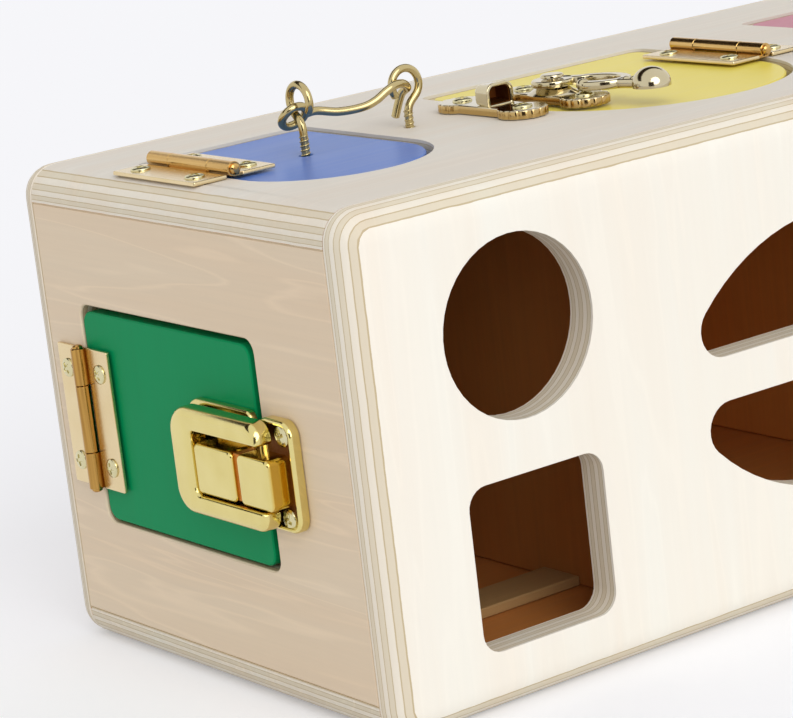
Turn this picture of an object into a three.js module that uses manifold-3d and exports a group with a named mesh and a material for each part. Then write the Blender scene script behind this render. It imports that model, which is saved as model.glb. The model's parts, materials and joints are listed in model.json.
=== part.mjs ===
// Plywood lock box with shape holes in its front, one door in its left end and three doors in its top.
// Units are millimetres. X runs along the length, Y from front to back, Z up.
// The origin is the middle of the underside.
import * as THREE from 'three';
import { RoundedBoxGeometry } from 'three/addons/geometries/RoundedBoxGeometry.js';
import { mergeVertices } from 'three/addons/utils/BufferGeometryUtils.js';
import Module from 'manifold-3d';

// Box and sheet material
const LENGTH = 288;
const WIDTH = 147;
const HEIGHT = 126;
const SHEET = 8.5;
const EDGE_ROUND = 8;
const GLUE_GAP = 0.2;

// Dividers and floor batten
const DIVIDER = 8.5;
const LEFT_DIVIDER_FROM_END = 90.25;
const RIGHT_DIVIDER_FROM_END = 77.2;
const LEFT_DIVIDER_X = LEFT_DIVIDER_FROM_END - LENGTH / 2;
const RIGHT_DIVIDER_X = LENGTH / 2 - RIGHT_DIVIDER_FROM_END;
const BATTEN_WIDTH = 14;
const BATTEN_HEIGHT = 2.7;
const BATTEN_Y = -27.5;

// Shape holes in the front
const HOLE_COLUMN_FROM_END = 46;
const HOLE_ROW_RISE = 27.5;
const ROUND_HOLE = 44.2;
const SQUARE_HOLE = 40.5;
const SQUARE_CORNER = 5.3;
const DOME_RADIUS = 58.4;
const DOME_HEIGHT = 29.3;
const DOME_CORNER = 7;
const DOME_BAR = 11.1;
const TRIANGLE_SIDE = 47;
const TRIANGLE_CORNER = 4;
const HEXAGON_FLATS = 41;
const HEXAGON_CORNER = 3;

// Door openings and doors
const DOOR_GAP = 2;
const DOOR_RECESS = 0.5;
const DOOR_CORNER = 3.5;
const TOP_DOOR_BACK_Y = 39;
const SIDE_DOOR_FROM_END = 16;
const SIDE_DOOR_WIDTH = 51.5;
const SIDE_DOOR_DEPTH = 75;
const TOP_DOOR_LAND = 38.25;
const MIDDLE_DOOR_WIDTH = LENGTH - 2 * (SIDE_DOOR_FROM_END + SIDE_DOOR_WIDTH + TOP_DOOR_LAND);
const MIDDLE_DOOR_DEPTH = 87.5;
const END_DOOR_WIDTH = 78.9;
const END_DOOR_HEIGHT = 57.6;
const END_DOOR_SHIFT = 8.95;
const END_DOOR_RISE = 0.8;
const END_GAP_HINGE = 0.4;
const END_GAP_FREE = 2.8;
const END_GAP_TOP = 1.8;
const END_GAP_BOTTOM = 0.8;
const STOP_WIDTH = 10;
const STOP_HEIGHT = 6;
const STOP_LENGTH = 30;
const STOP_LAP = 3;

// Butt hinges
const SEAT = 0.2;
const RUN_GAP = 0.3;
const LEAF_WIDTH = 12;
const LEAF_LENGTH = 37;
const LEAF = 1;
const BARREL = 3.8;
const HINGE_PIN = 1.8;
const OUTER_KNUCKLE = 9.6;
const PIN_HEAD = 2.8;
const PIN_HEAD_HEIGHT = 0.8;
const TOP_HINGE_Y = 12.5;
const MIDDLE_HINGE_Y = 2.5;

// Wood screws
const SCREW_HEAD = 5;
const SCREW_HEAD_HEIGHT = 1.1;
const SCREW_SHANK = 2.4;
const SCREW_DEPTH = 6;
const SCREW_FROM_AXIS = 7.6;
const SCREW_FROM_END = 6.2;

// Case latch of the end door
const LATCH_RISE = -1.4;
const LATCH_PLATE_WIDTH = 14;
const LATCH_PLATE_HEIGHT = 27.4;
const LATCH_PLATE = 3;
const LATCH_PLATE_CORNER = 4;
const LATCH_RIM = 1.8;
const LATCH_PLATE_FROM_OPENING = 2;
const LATCH_BLOCK_HALF = 5.9;
const LATCH_BLOCK_TOP = 8.2;
const LATCH_BLOCK_CORNER = 2;
const LATCH_BLOCK_ROUND = 1.2;
const LATCH_TONGUE_LENGTH = 12.2;
const LATCH_CATCH_LENGTH = 16.5;
const LATCH_DOOR_PLATE = 2.2;
const LATCH_DOOR_PLATE_OVER = 1;
const LEVER_HALF = 13.4;
const LEVER_WINDOW_GAP = 1.4;
const LEVER_BOTTOM = 3.6;
const LEVER_TOP = 8.6;
const LEVER_ARM_REACH = 9;
const LEVER_END_WIDTH = 10.5;
const LEVER_CORNER = 6.5;
const LEVER_CROWN = 2.4;
const LUG_HALF = 7;
const LUG_RADIUS = 2;
const LATCH_PIN = 2;
const LATCH_PIN_HALF = 11;

// Hook and its two screw eyes on the left top door
const EYE_WIRE = 2.1;
const EYE_RADIUS = 4.2;
const EYE_DEPTH = 6;
const THREAD_RIDGE = 0.35;
const DOOR_EYE_FROM_MIDDLE = 2.35;
const DOOR_EYE_Y = 3.1;
const DOOR_EYE_CENTRE = 13;
const CASE_EYE_FROM_OPENING = 10.2;
const CASE_EYE_Y = 4.8;
const CASE_EYE_CENTRE = 10.9;
const HOOK_WIRE = 2.2;
const HOOK_EYE_RADIUS = 3.4;
const HOOK_EYE_TILT_DEG = 40;
const HOOK_SAG = 2.9;
const HOOK_TIP = 2.6;

// Swing clasp of the middle top door
const KEEPER_Y = -2.5;
const CLASP_Y = -6.5;
const CLASP_PLATE = 2.3;
const CLASP_LOBE = 6.5;
const CLASP_LOBE_SPACING = 25;
const CLASP_WAIST = 9.5;
const CLASP_FROM_EDGE = 8.2;
const KEEPER_FROM_EDGE = 6.9;
const HOOD_WIDTH = 8.4;
const HOOD_LENGTH = 6.8;
const HOOD_BEFORE = 4;
const HOOD_TOP = 8.3;
const HOOD_WALL = 1.3;
const HOOD_CORNER = 2.4;
const HOOD_ROUND = 1.5;
const ARM_BOTTOM = 4.2;
const ARM = 1.8;
const ARM_DISC = 5.5;
const ARM_REACH = 29.7;
const ARM_REST_DEG = -72;
const THROAT_CENTRE = 12.6;
const THROAT_OFFSET = 1.6;
const THROAT_LENGTH = 13;
const THROAT_WIDTH = 8.6;
const THROAT_BAR = 2.8;
const PRONG_TIP = 10.4;
const NECK_WIDTH = 3.6;
const KNOB_RADIUS = 5;
const KNOB_HEIGHT = 4.8;
const RIVET = 3;
const RIVET_CAP = 6;
const RIVET_CAP_HEIGHT = 1;
const RIVET_BOSS = 8;

// Barrel bolt of the right top door
const BOLT_Y = -10;
const BOLT_PLATE_LENGTH = 28;
const BOLT_PLATE_WIDTH = 15;
const BOLT_PLATE = 1.2;
const BOLT_FROM_EDGE = 1.5;
const BOLT_ROD = 5;
const BOLT_STRAP = 3;
const BOLT_STRAP_WALL = 1.5;
const BOLT_KNOB = 4;
const BOLT_KNOB_HEIGHT = 6;
const BOLT_KEEPER_WIDTH = 7;
const BOLT_KEEPER_FROM_EDGE = 3;

// Places that follow from the sizes above
const HOLE_COLUMN_X = LENGTH / 2 - HOLE_COLUMN_FROM_END;
const SIDE_DOOR_X = LENGTH / 2 - SIDE_DOOR_FROM_END - SIDE_DOOR_WIDTH / 2;
const DOOR_EYE_X = DOOR_EYE_FROM_MIDDLE - SIDE_DOOR_X;
const CASE_EYE_X = SIDE_DOOR_WIDTH / 2 + CASE_EYE_FROM_OPENING - SIDE_DOOR_X;

// Numbers of facets
const ROUND_FACETS = 4;
const FACET_ERROR = 0.05;
const WIRE_FACETS = 8;
const PIN_FACETS = 12;
const SCREW_FACETS = 8;

const wasm = await Module();
wasm.setup();

// Solids from geometry, and geometry from solids

function toSolid(geometry) {
  const bare = geometry.clone();
  bare.deleteAttribute('normal');
  bare.deleteAttribute('uv');
  const merged = mergeVertices(bare, 1e-4);
  const corner = merged.index.array;
  const triVerts = [];
  for (let i = 0; i < corner.length; i += 3) {
    const [a, b, c] = [corner[i], corner[i + 1], corner[i + 2]];
    if (a !== b && b !== c && c !== a) {
      triVerts.push(a, b, c);
    }
  }
  return new wasm.Manifold(new wasm.Mesh({
    numProp: 3,
    vertProperties: new Float32Array(merged.attributes.position.array),
    triVerts: new Uint32Array(triVerts),
  }));
}

function toGeometry(solid) {
  const mesh = solid.getMesh();
  const geometry = new THREE.BufferGeometry();
  geometry.setAttribute('position', new THREE.BufferAttribute(mesh.vertProperties, 3));
  geometry.setIndex(new THREE.BufferAttribute(mesh.triVerts, 1));
  geometry.computeVertexNormals();
  return geometry;
}

function join(...solids) {
  return solids.reduce((whole, next) => whole.add(next));
}

function cut(solid, ...cutters) {
  return cutters.reduce((rest, cutter) => rest.subtract(cutter), solid);
}

// A box given by its low and high corners
function block(low, high) {
  const [x, y, z] = [0, 1, 2].map((i) => high[i] - low[i]);
  const middle = [0, 1, 2].map((i) => (high[i] + low[i]) / 2);
  return toSolid(new THREE.BoxGeometry(x, y, z).translate(...middle));
}

// A plate with its outline in X and Y, from one height to another
function plate(shape, low, high) {
  const settings = { depth: high - low, bevelEnabled: false };
  return toSolid(new THREE.ExtrudeGeometry(shape, settings).translate(0, 0, low));
}

// A plate whose upper edge is rounded by a bevel
function crownedPlate(shape, low, high, crown) {
  const spare = 1;
  const settings = {
    depth: high - low - crown + spare,
    bevelEnabled: true,
    bevelThickness: crown,
    bevelSize: crown,
    bevelOffset: -crown,
    bevelSegments: 3,
  };
  const whole = toSolid(new THREE.ExtrudeGeometry(shape, settings).translate(0, 0, low - spare));
  const far = 200;
  return whole.intersect(block([-far, -far, low], [far, far, far]));
}

// A turned piece: the profile is a list of [radius, height] from bottom to top on the Z axis
function turned(profile, facets) {
  const points = profile.map(([r, z]) => new THREE.Vector2(r, z));
  return toSolid(new THREE.LatheGeometry(points, facets).rotateX(Math.PI / 2));
}

function rod(diameter, low, high, facets = PIN_FACETS) {
  const radius = diameter / 2;
  return turned([[0, low], [radius, low], [radius, high], [0, high]], facets);
}

// A solid moved by a matrix
function placed(solid, matrix) {
  return solid.transform(Array.from(matrix.elements));
}

function shifted(solid, x, y, z) {
  return solid.translate([x, y, z]);
}

// Frames. Each maps local X, Y, Z to world directions, with local Z pointing out of the face.

const X_AXIS = new THREE.Vector3(1, 0, 0);
const Y_AXIS = new THREE.Vector3(0, 1, 0);
const Z_AXIS = new THREE.Vector3(0, 0, 1);

function frame(xDir, yDir, zDir, origin) {
  return new THREE.Matrix4().makeBasis(xDir, yDir, zDir).setPosition(...origin);
}

const topFace = frame(X_AXIS, Y_AXIS, Z_AXIS, [0, 0, HEIGHT]);
const frontFace = frame(X_AXIS, Z_AXIS, Y_AXIS.clone().negate(), [0, -WIDTH / 2, HEIGHT / 2]);
const endFace = frame(
  Y_AXIS.clone().negate(), Z_AXIS, X_AXIS.clone().negate(), [-LENGTH / 2, 0, HEIGHT / 2]);

// Outlines

// Points along an arc, close enough together to stay within the facet error
function arc(x, y, radius, from, to) {
  const step = 2 * Math.acos(1 - Math.min(FACET_ERROR / radius, 0.1));
  const count = Math.max(2, Math.ceil(Math.abs(to - from) / step));
  const points = [];
  for (let i = 0; i <= count; i += 1) {
    const angle = from + ((to - from) * i) / count;
    points.push(new THREE.Vector2(x + radius * Math.cos(angle), y + radius * Math.sin(angle)));
  }
  return points;
}

const QUARTER = Math.PI / 2;

function roundedRectangle(left, bottom, right, top, radius) {
  const r = Math.min(radius, (right - left) / 2.01, (top - bottom) / 2.01);
  return new THREE.Shape([
    ...arc(right - r, bottom + r, r, -QUARTER, 0),
    ...arc(right - r, top - r, r, 0, QUARTER),
    ...arc(left + r, top - r, r, QUARTER, 2 * QUARTER),
    ...arc(left + r, bottom + r, r, 2 * QUARTER, 3 * QUARTER),
  ]);
}

function disc(x, y, radius) {
  return new THREE.Shape(arc(x, y, radius, 0, 4 * QUARTER).slice(1));
}

// A door outline: a half circle at the front, straight sides and a flat back, drawn in by inset
function archedDoor(x, back, width, depth, inset) {
  const half = width / 2 - inset;
  const rear = back - inset;
  const centre = back - depth + width / 2;
  const r = DOOR_CORNER;
  return new THREE.Shape([
    ...arc(x, centre, half, 2 * QUARTER, 4 * QUARTER),
    ...arc(x + half - r, rear - r, r, 0, QUARTER),
    ...arc(x - half + r, rear - r, r, QUARTER, 2 * QUARTER),
  ]);
}

// A regular polygon with rounded corners, first corner at the given angle
function roundedPolygon(x, y, corners, circumradius, radius, firstAngle) {
  const half = Math.PI / corners;
  const reach = circumradius - radius / Math.cos(half);
  const points = [];
  for (let i = 0; i < corners; i += 1) {
    const angle = firstAngle + 2 * half * i;
    const [cx, cy] = [x + reach * Math.cos(angle), y + reach * Math.sin(angle)];
    points.push(...arc(cx, cy, radius, angle - half, angle + half));
  }
  return new THREE.Shape(points);
}

// A dome: a flat base, a shallow arc over it and rounded corners; side is 1 upward or -1 downward
function dome(base, side) {
  const centre = DOME_HEIGHT - DOME_RADIUS;
  const inner = DOME_RADIUS - DOME_CORNER;
  const cornerX = Math.sqrt(inner ** 2 - (DOME_CORNER - centre) ** 2);
  const lean = Math.atan2(DOME_CORNER - centre, cornerX);
  const points = [
    ...arc(cornerX, DOME_CORNER, DOME_CORNER, -QUARTER, lean),
    ...arc(0, centre, DOME_RADIUS, lean, Math.PI - lean),
    ...arc(-cornerX, DOME_CORNER, DOME_CORNER, Math.PI - lean, 3 * QUARTER),
  ];
  return new THREE.Shape(points.map((point) => new THREE.Vector2(point.x, base + side * point.y)));
}

// Materials, one object for each mesh

const finishes = {
  plywood: { color: 0xe9dcc6, roughness: 0.6, metalness: 0 },
  greenPaint: { color: 0x1f8a55, roughness: 0.45, metalness: 0 },
  bluePaint: { color: 0x6f90cc, roughness: 0.45, metalness: 0 },
  yellowPaint: { color: 0xdcd07c, roughness: 0.45, metalness: 0 },
  pinkPaint: { color: 0xc4818f, roughness: 0.45, metalness: 0 },
  brass: { color: 0xd9b45a, roughness: 0.22, metalness: 1 },
  paleBrass: { color: 0xcdbf96, roughness: 0.2, metalness: 1 },
  steel: { color: 0xd8d2c4, roughness: 0.3, metalness: 1 },
};

const box = new THREE.Group();

function addPiece(parent, name, solid, finish) {
  const mesh = new THREE.Mesh(toGeometry(solid), new THREE.MeshStandardMaterial(finishes[finish]));
  mesh.name = name;
  parent.add(mesh);
  return mesh;
}

function addGroup(matrix) {
  const group = new THREE.Group();
  group.applyMatrix4(matrix);
  box.add(group);
  return group;
}

// Doors: where each opening is, and its frame

const endOpening = {
  left: -END_DOOR_WIDTH / 2 - END_DOOR_SHIFT,
  right: END_DOOR_WIDTH / 2 - END_DOOR_SHIFT,
  bottom: END_DOOR_RISE - END_DOOR_HEIGHT / 2,
  top: END_DOOR_RISE + END_DOOR_HEIGHT / 2,
};

const topDoors = [
  { name: 'blue', x: -SIDE_DOOR_X, width: SIDE_DOOR_WIDTH, depth: SIDE_DOOR_DEPTH, hinge: -1 },
  { name: 'yellow', x: 0, width: MIDDLE_DOOR_WIDTH, depth: MIDDLE_DOOR_DEPTH, hinge: 1 },
  { name: 'pink', x: SIDE_DOOR_X, width: SIDE_DOOR_WIDTH, depth: SIDE_DOOR_DEPTH, hinge: 1 },
];
const [blueDoor, yellowDoor, pinkDoor] = topDoors;

function topOutline(door, inset) {
  return archedDoor(door.x, TOP_DOOR_BACK_Y, door.width, door.depth, inset);
}

function endOpeningOutline() {
  const { left, bottom, right, top } = endOpening;
  return roundedRectangle(left, bottom, right, top, DOOR_CORNER);
}

// The end door hangs low and close to its hinge
function endDoorOutline() {
  const { left, bottom, right, top } = endOpening;
  return roundedRectangle(
    left + END_GAP_HINGE, bottom + END_GAP_BOTTOM, right - END_GAP_FREE, top - END_GAP_TOP, DOOR_CORNER);
}

// Hinges: local Y is the pin, the door leaf lies toward local +X, local Z is zero on the case's face

const hinges = [
  { name: 'green', at: new THREE.Matrix4().multiplyMatrices(
    endFace, new THREE.Matrix4().makeTranslation(endOpening.left + END_GAP_HINGE / 2, 0, 0)) },
  ...topDoors.map((door) => {
    const edge = door.x + door.hinge * (door.width / 2 - DOOR_GAP / 2);
    const along = door === yellowDoor ? MIDDLE_HINGE_Y : TOP_HINGE_Y;
    const turn = new THREE.Matrix4().makeRotationZ(door.hinge > 0 ? Math.PI : 0);
    const at = new THREE.Matrix4().makeTranslation(edge, along, 0).multiply(turn);
    return { name: door.name, at: new THREE.Matrix4().multiplyMatrices(topFace, at) };
  }),
];

const barrelHeight = SEAT + LEAF / 10 + BARREL / 2;

function hingeScrewPlaces() {
  const places = [];
  for (const side of [-1, 1]) {
    for (const end of [-1, 1]) {
      places.push([side * SCREW_FROM_AXIS, end * (LEAF_LENGTH / 2 - SCREW_FROM_END)]);
    }
  }
  return places;
}

// The clearance hole that a screw leaves in the leaf and in the wood
function screwHole(x, y) {
  const hole = rod(SCREW_SHANK + 2 * RUN_GAP, -SCREW_DEPTH - RUN_GAP, SEAT + LEAF + RUN_GAP, SCREW_FACETS);
  return shifted(hole, x, y, 0);
}

const hingeHoles = hinges.map((hinge) => {
  const holes = join(...hingeScrewPlaces().map(([x, y]) => screwHole(x, y)));
  return placed(holes, hinge.at);
});

// The sheets of the box

const outer = toSolid(new RoundedBoxGeometry(LENGTH, WIDTH, HEIGHT, ROUND_FACETS, EDGE_ROUND)
  .translate(0, 0, HEIGHT / 2));
const halfLength = LENGTH / 2;
const halfWidth = WIDTH / 2;
const innerY = halfWidth - SHEET;
const innerX = halfLength - SHEET;
const innerTop = HEIGHT - SHEET;

function slab(low, high) {
  return outer.intersect(block(low, high));
}

function frontHoles() {
  const rise = HOLE_ROW_RISE;
  const halfSquare = SQUARE_HOLE / 2;
  const [left, right] = [-HOLE_COLUMN_X, HOLE_COLUMN_X];
  const triangleReach = TRIANGLE_SIDE / Math.sqrt(3);
  const triangleDrop = triangleReach / 4;
  const hexagonReach = HEXAGON_FLATS / Math.sqrt(3);
  const outlines = [
    disc(left, rise, ROUND_HOLE / 2),
    roundedRectangle(
      left - halfSquare, -rise - halfSquare, left + halfSquare, -rise + halfSquare, SQUARE_CORNER),
    dome(DOME_BAR / 2, 1),
    dome(-DOME_BAR / 2, -1),
    roundedPolygon(right, rise - triangleDrop, 3, triangleReach, TRIANGLE_CORNER, Math.PI / 2),
    roundedPolygon(right, -rise, 6, hexagonReach, HEXAGON_CORNER, 0),
  ];
  const overrun = 5;
  return outlines.map((outline) => placed(plate(outline, -SHEET - overrun, overrun), frontFace));
}

// Holes for the screw eyes, in the left top door and in the top
function eyeHole(x, y) {
  const hole = rod(EYE_WIRE + 2 * (THREAD_RIDGE + RUN_GAP), -EYE_DEPTH - RUN_GAP, SEAT, SCREW_FACETS);
  return shifted(hole, x, y, HEIGHT);
}

function buildCase() {
  const overrun = 5;
  const openings = topDoors.map((door) => {
    const opening = plate(topOutline(door, 0), -SHEET - overrun, overrun);
    return placed(opening, topFace);
  });
  const caseEyeHole = eyeHole(CASE_EYE_X, CASE_EYE_Y);
  const endHole = placed(plate(endOpeningOutline(), -SHEET - overrun, overrun), endFace);
  const joint = innerY - GLUE_GAP;
  const far = LENGTH;
  const front = slab([-far, -far, -far], [far, -innerY, far]);
  const back = slab([-far, innerY, -far], [far, far, far]);
  const top = slab([-far, -joint, innerTop], [far, joint, far]);
  const bottom = slab([-far, -joint, -far], [far, joint, SHEET]);
  const endLow = SHEET + GLUE_GAP;
  const endHigh = innerTop - GLUE_GAP;
  const left = slab([-far, -joint, endLow], [-innerX, joint, endHigh]);
  const right = slab([innerX, -joint, endLow], [far, joint, endHigh]);
  addPiece(box, 'front_sheet', cut(front, ...frontHoles()), 'plywood');
  addPiece(box, 'back_sheet', back, 'plywood');
  addPiece(box, 'top_sheet', cut(top, ...openings, ...hingeHoles.slice(1), caseEyeHole), 'plywood');
  addPiece(box, 'bottom_sheet', bottom, 'plywood');
  addPiece(box, 'left_end_sheet', cut(left, endHole, hingeHoles[0]), 'plywood');
  addPiece(box, 'right_end_sheet', right, 'plywood');
  for (const [name, x] of [['left_divider', LEFT_DIVIDER_X], ['right_divider', RIGHT_DIVIDER_X]]) {
    const divider = block([x - DIVIDER / 2, -joint, endLow], [x + DIVIDER / 2, joint, endHigh]);
    addPiece(box, name, divider, 'plywood');
  }
  const batten = block(
    [-innerX + GLUE_GAP, BATTEN_Y - BATTEN_WIDTH / 2, endLow],
    [LEFT_DIVIDER_X - DIVIDER / 2 - GLUE_GAP, BATTEN_Y + BATTEN_WIDTH / 2, endLow + BATTEN_HEIGHT]);
  addPiece(box, 'floor_batten', batten, 'plywood');
}

// Doors, each flush in its opening but for the recess, and the stop that each one closes on

function buildDoors() {
  const low = -SHEET;
  const high = -DOOR_RECESS;
  const green = placed(plate(endDoorOutline(), low, high), endFace);
  addPiece(box, 'green_door', cut(green, hingeHoles[0]), 'greenPaint');
  topDoors.forEach((door, i) => {
    let body = cut(placed(plate(topOutline(door, DOOR_GAP), low, high), topFace), hingeHoles[i + 1]);
    if (door === blueDoor) {
      body = cut(body, eyeHole(DOOR_EYE_X, DOOR_EYE_Y));
    }
    addPiece(box, `${door.name}_door`, body, `${door.name}Paint`);
  });
}

function buildStops() {
  const high = -SHEET - GLUE_GAP - RUN_GAP;
  const low = high - STOP_HEIGHT;
  const inside = DOOR_GAP + STOP_LAP;
  const endInside = END_GAP_FREE + STOP_LAP;
  const endStop = block(
    [endOpening.right - endInside, -STOP_LENGTH / 2, low],
    [endOpening.right - endInside + STOP_WIDTH, STOP_LENGTH / 2, high]);
  addPiece(box, 'green_door_stop', placed(endStop, endFace), 'plywood');
  for (const door of topDoors) {
    const free = door.x - door.hinge * (door.width / 2 - inside);
    const away = free - door.hinge * STOP_WIDTH;
    const stop = block(
      [Math.min(free, away), TOP_HINGE_Y - STOP_LENGTH / 2, low],
      [Math.max(free, away), TOP_HINGE_Y + STOP_LENGTH / 2, high]);
    addPiece(box, `${door.name}_door_stop`, placed(stop, topFace), 'plywood');
  }
}

// One hinge: case leaf with the middle knuckle, door leaf with the outer knuckles, pin and four screws

function knuckle(low, high) {
  const lying = new THREE.Matrix4().makeRotationX(-Math.PI / 2).setPosition(0, 0, barrelHeight);
  return placed(rod(BARREL, low, high), lying);
}

function leafPlate(side) {
  const inner = 0;
  const outerEdge = side * LEAF_WIDTH;
  return block(
    [Math.min(inner, outerEdge), -LEAF_LENGTH / 2, SEAT],
    [Math.max(inner, outerEdge), LEAF_LENGTH / 2, SEAT + LEAF]);
}

// Room cut in a leaf for the other leaf's knuckle
function knuckleRoom(low, high) {
  const reach = BARREL / 2 + RUN_GAP;
  return block([-reach, low, -SEAT], [reach, high, BARREL + SEAT]);
}

function buildHinge(hinge) {
  const group = addGroup(hinge.at);
  const half = LEAF_LENGTH / 2;
  const split = half - OUTER_KNUCKLE;
  const lying = new THREE.Matrix4().makeRotationX(-Math.PI / 2).setPosition(0, 0, barrelHeight);
  const bore = placed(rod(HINGE_PIN + 2 * RUN_GAP, -half - 1, half + 1), lying);
  const places = hingeScrewPlaces();
  const holes = join(...places.map(([x, y]) => screwHole(x, y)));
  const outerEnd = half + RUN_GAP;
  const outerRooms = [knuckleRoom(split - RUN_GAP, outerEnd), knuckleRoom(-outerEnd, -split + RUN_GAP)];
  const middleRoom = knuckleRoom(-split - RUN_GAP, split + RUN_GAP);
  const middleKnuckle = knuckle(-split + RUN_GAP, split - RUN_GAP);
  const outerKnuckles = [knuckle(split, half), knuckle(-half, -split)];
  const caseLeaf = cut(join(cut(leafPlate(-1), ...outerRooms), middleKnuckle), bore, holes);
  const doorLeaf = cut(join(cut(leafPlate(1), middleRoom), ...outerKnuckles), bore, holes);
  const shoulder = half + SEAT;
  const radius = HINGE_PIN / 2;
  const head = PIN_HEAD / 2;
  const tip = shoulder + PIN_HEAD_HEIGHT;
  const pin = placed(turned([
    [0, -tip], [head, -tip], [head, -shoulder], [radius, -shoulder],
    [radius, shoulder], [head, shoulder], [head, tip], [0, tip],
  ], PIN_FACETS), lying);
  addPiece(group, `${hinge.name}_hinge_case_leaf`, caseLeaf, 'brass');
  addPiece(group, `${hinge.name}_hinge_door_leaf`, doorLeaf, 'brass');
  addPiece(group, `${hinge.name}_hinge_pin`, pin, 'brass');
  places.forEach(([x, y], i) => {
    const where = x < 0 ? 'case' : 'door';
    addPiece(group, `${hinge.name}_hinge_${where}_screw_${(i % 2) + 1}`, shifted(screw(), x, y, 0), 'brass');
  });
}

// A round-headed wood screw through a leaf, its tip in the wood
function screw() {
  const under = SEAT + LEAF + SEAT / 2;
  const shank = SCREW_SHANK / 2;
  const head = SCREW_HEAD / 2;
  const shoulder = under + SCREW_HEAD_HEIGHT / 3;
  const crown = under + SCREW_HEAD_HEIGHT;
  return turned([
    [0, -SCREW_DEPTH], [shank, -SCREW_DEPTH + SCREW_SHANK], [shank, under], [head, under],
    [head, shoulder], [head / 2, crown - SCREW_HEAD_HEIGHT / 6], [0, crown],
  ], SCREW_FACETS);
}

// Case latch: a keeper on the end sheet, a catch on the door and a forked lever that turns on the catch

function buildLatch() {
  const rise = new THREE.Matrix4().makeTranslation(0, LATCH_RISE, 0);
  const group = addGroup(new THREE.Matrix4().multiplyMatrices(endFace, rise));
  const edge = endOpening.right;
  const doorEdge = edge - DOOR_GAP;
  const plateLeft = edge + LATCH_PLATE_FROM_OPENING;
  const plateRight = plateLeft + LATCH_PLATE_WIDTH;
  const half = LATCH_PLATE_HEIGHT / 2;
  const rim = LATCH_RIM;
  const baseTop = SEAT + LATCH_PLATE;
  const baseOutline = roundedRectangle(plateLeft, -half, plateRight, half, LATCH_PLATE_CORNER);
  const dishOutline = roundedRectangle(
    plateLeft - rim, -half + rim, plateRight - rim, half - rim, LATCH_PLATE_CORNER - rim / 2);
  const dish = plate(dishOutline, baseTop - LATCH_PLATE / 2, baseTop + 1);
  const blockHalf = LATCH_BLOCK_HALF;
  const tongueOutline = roundedRectangle(
    edge, -blockHalf, edge + LATCH_TONGUE_LENGTH, blockHalf, LATCH_BLOCK_CORNER);
  const tongue = crownedPlate(tongueOutline, SEAT + LATCH_PLATE / 4, LATCH_BLOCK_TOP, LATCH_BLOCK_ROUND);
  const rimmed = cut(crownedPlate(baseOutline, SEAT, baseTop, rim / 2), dish);
  addPiece(group, 'latch_keeper', join(rimmed, tongue), 'brass');

  const seat = -DOOR_RECESS + SEAT;
  const catchRight = doorEdge;
  const catchLeft = catchRight - LATCH_CATCH_LENGTH;
  const windowLeft = catchLeft - RUN_GAP - SEAT;
  const leverLeft = windowLeft - LEVER_END_WIDTH;
  const pinHeight = (LEVER_BOTTOM + LEVER_TOP) / 2 - SEAT * 4;
  const pinX = leverLeft + LUG_RADIUS + RUN_GAP;
  const lying = new THREE.Matrix4().makeRotationX(-Math.PI / 2).setPosition(pinX, 0, pinHeight);
  const plateTop = seat + LATCH_DOOR_PLATE;
  const catchOutline = roundedRectangle(catchLeft, -blockHalf, catchRight, blockHalf, LATCH_BLOCK_CORNER);
  const boreHalf = LATCH_PIN_HALF + RUN_GAP;
  const pinBore = placed(rod(LATCH_PIN + 2 * RUN_GAP, -boreHalf, boreHalf), lying);
  const lug = join(
    placed(rod(2 * LUG_RADIUS, -LUG_HALF, LUG_HALF), lying),
    block(
      [pinX - 0.9 * LUG_RADIUS, -LUG_HALF, plateTop - LATCH_DOOR_PLATE / 2],
      [pinX + 0.9 * LUG_RADIUS, LUG_HALF, pinHeight - LUG_RADIUS / 3]));
  const footOutline = roundedRectangle(
    leverLeft, -half, catchRight + LATCH_DOOR_PLATE_OVER, half, LATCH_PLATE_CORNER);
  const catchBase = seat + LATCH_DOOR_PLATE / 3;
  const catchBlock = crownedPlate(catchOutline, catchBase, LATCH_BLOCK_TOP, LATCH_BLOCK_ROUND);
  const catchPiece = cut(join(plate(footOutline, seat, plateTop), catchBlock, lug), pinBore);
  addPiece(group, 'latch_catch', catchPiece, 'brass');

  const leverRight = edge + LEVER_ARM_REACH;
  const windowHalf = blockHalf + LEVER_WINDOW_GAP;
  const leverOutline = roundedRectangle(leverLeft, -LEVER_HALF, leverRight, LEVER_HALF, LEVER_CORNER);
  const windowOutline = roundedRectangle(
    windowLeft, -windowHalf, leverRight + 2 * LEVER_CORNER, windowHalf, LATCH_BLOCK_ROUND);
  const lugHalf = LUG_HALF + RUN_GAP;
  const lugReach = LUG_RADIUS + RUN_GAP;
  const lugRoom = block(
    [leverLeft - 1, -lugHalf, LEVER_BOTTOM - 1], [pinX + lugReach + 1, lugHalf, pinHeight + lugReach]);
  const lever = cut(
    crownedPlate(leverOutline, LEVER_BOTTOM, LEVER_TOP, LEVER_CROWN),
    plate(windowOutline, LEVER_BOTTOM - 1, LEVER_TOP + 1), lugRoom, pinBore);
  addPiece(group, 'latch_lever', lever, 'brass');
  addPiece(group, 'latch_pin', placed(rod(LATCH_PIN, -LATCH_PIN_HALF, LATCH_PIN_HALF), lying), 'brass');
}

// Screw eye: a ring on a threaded stem, the ring's face toward local Y, local Z zero on the wood

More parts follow.
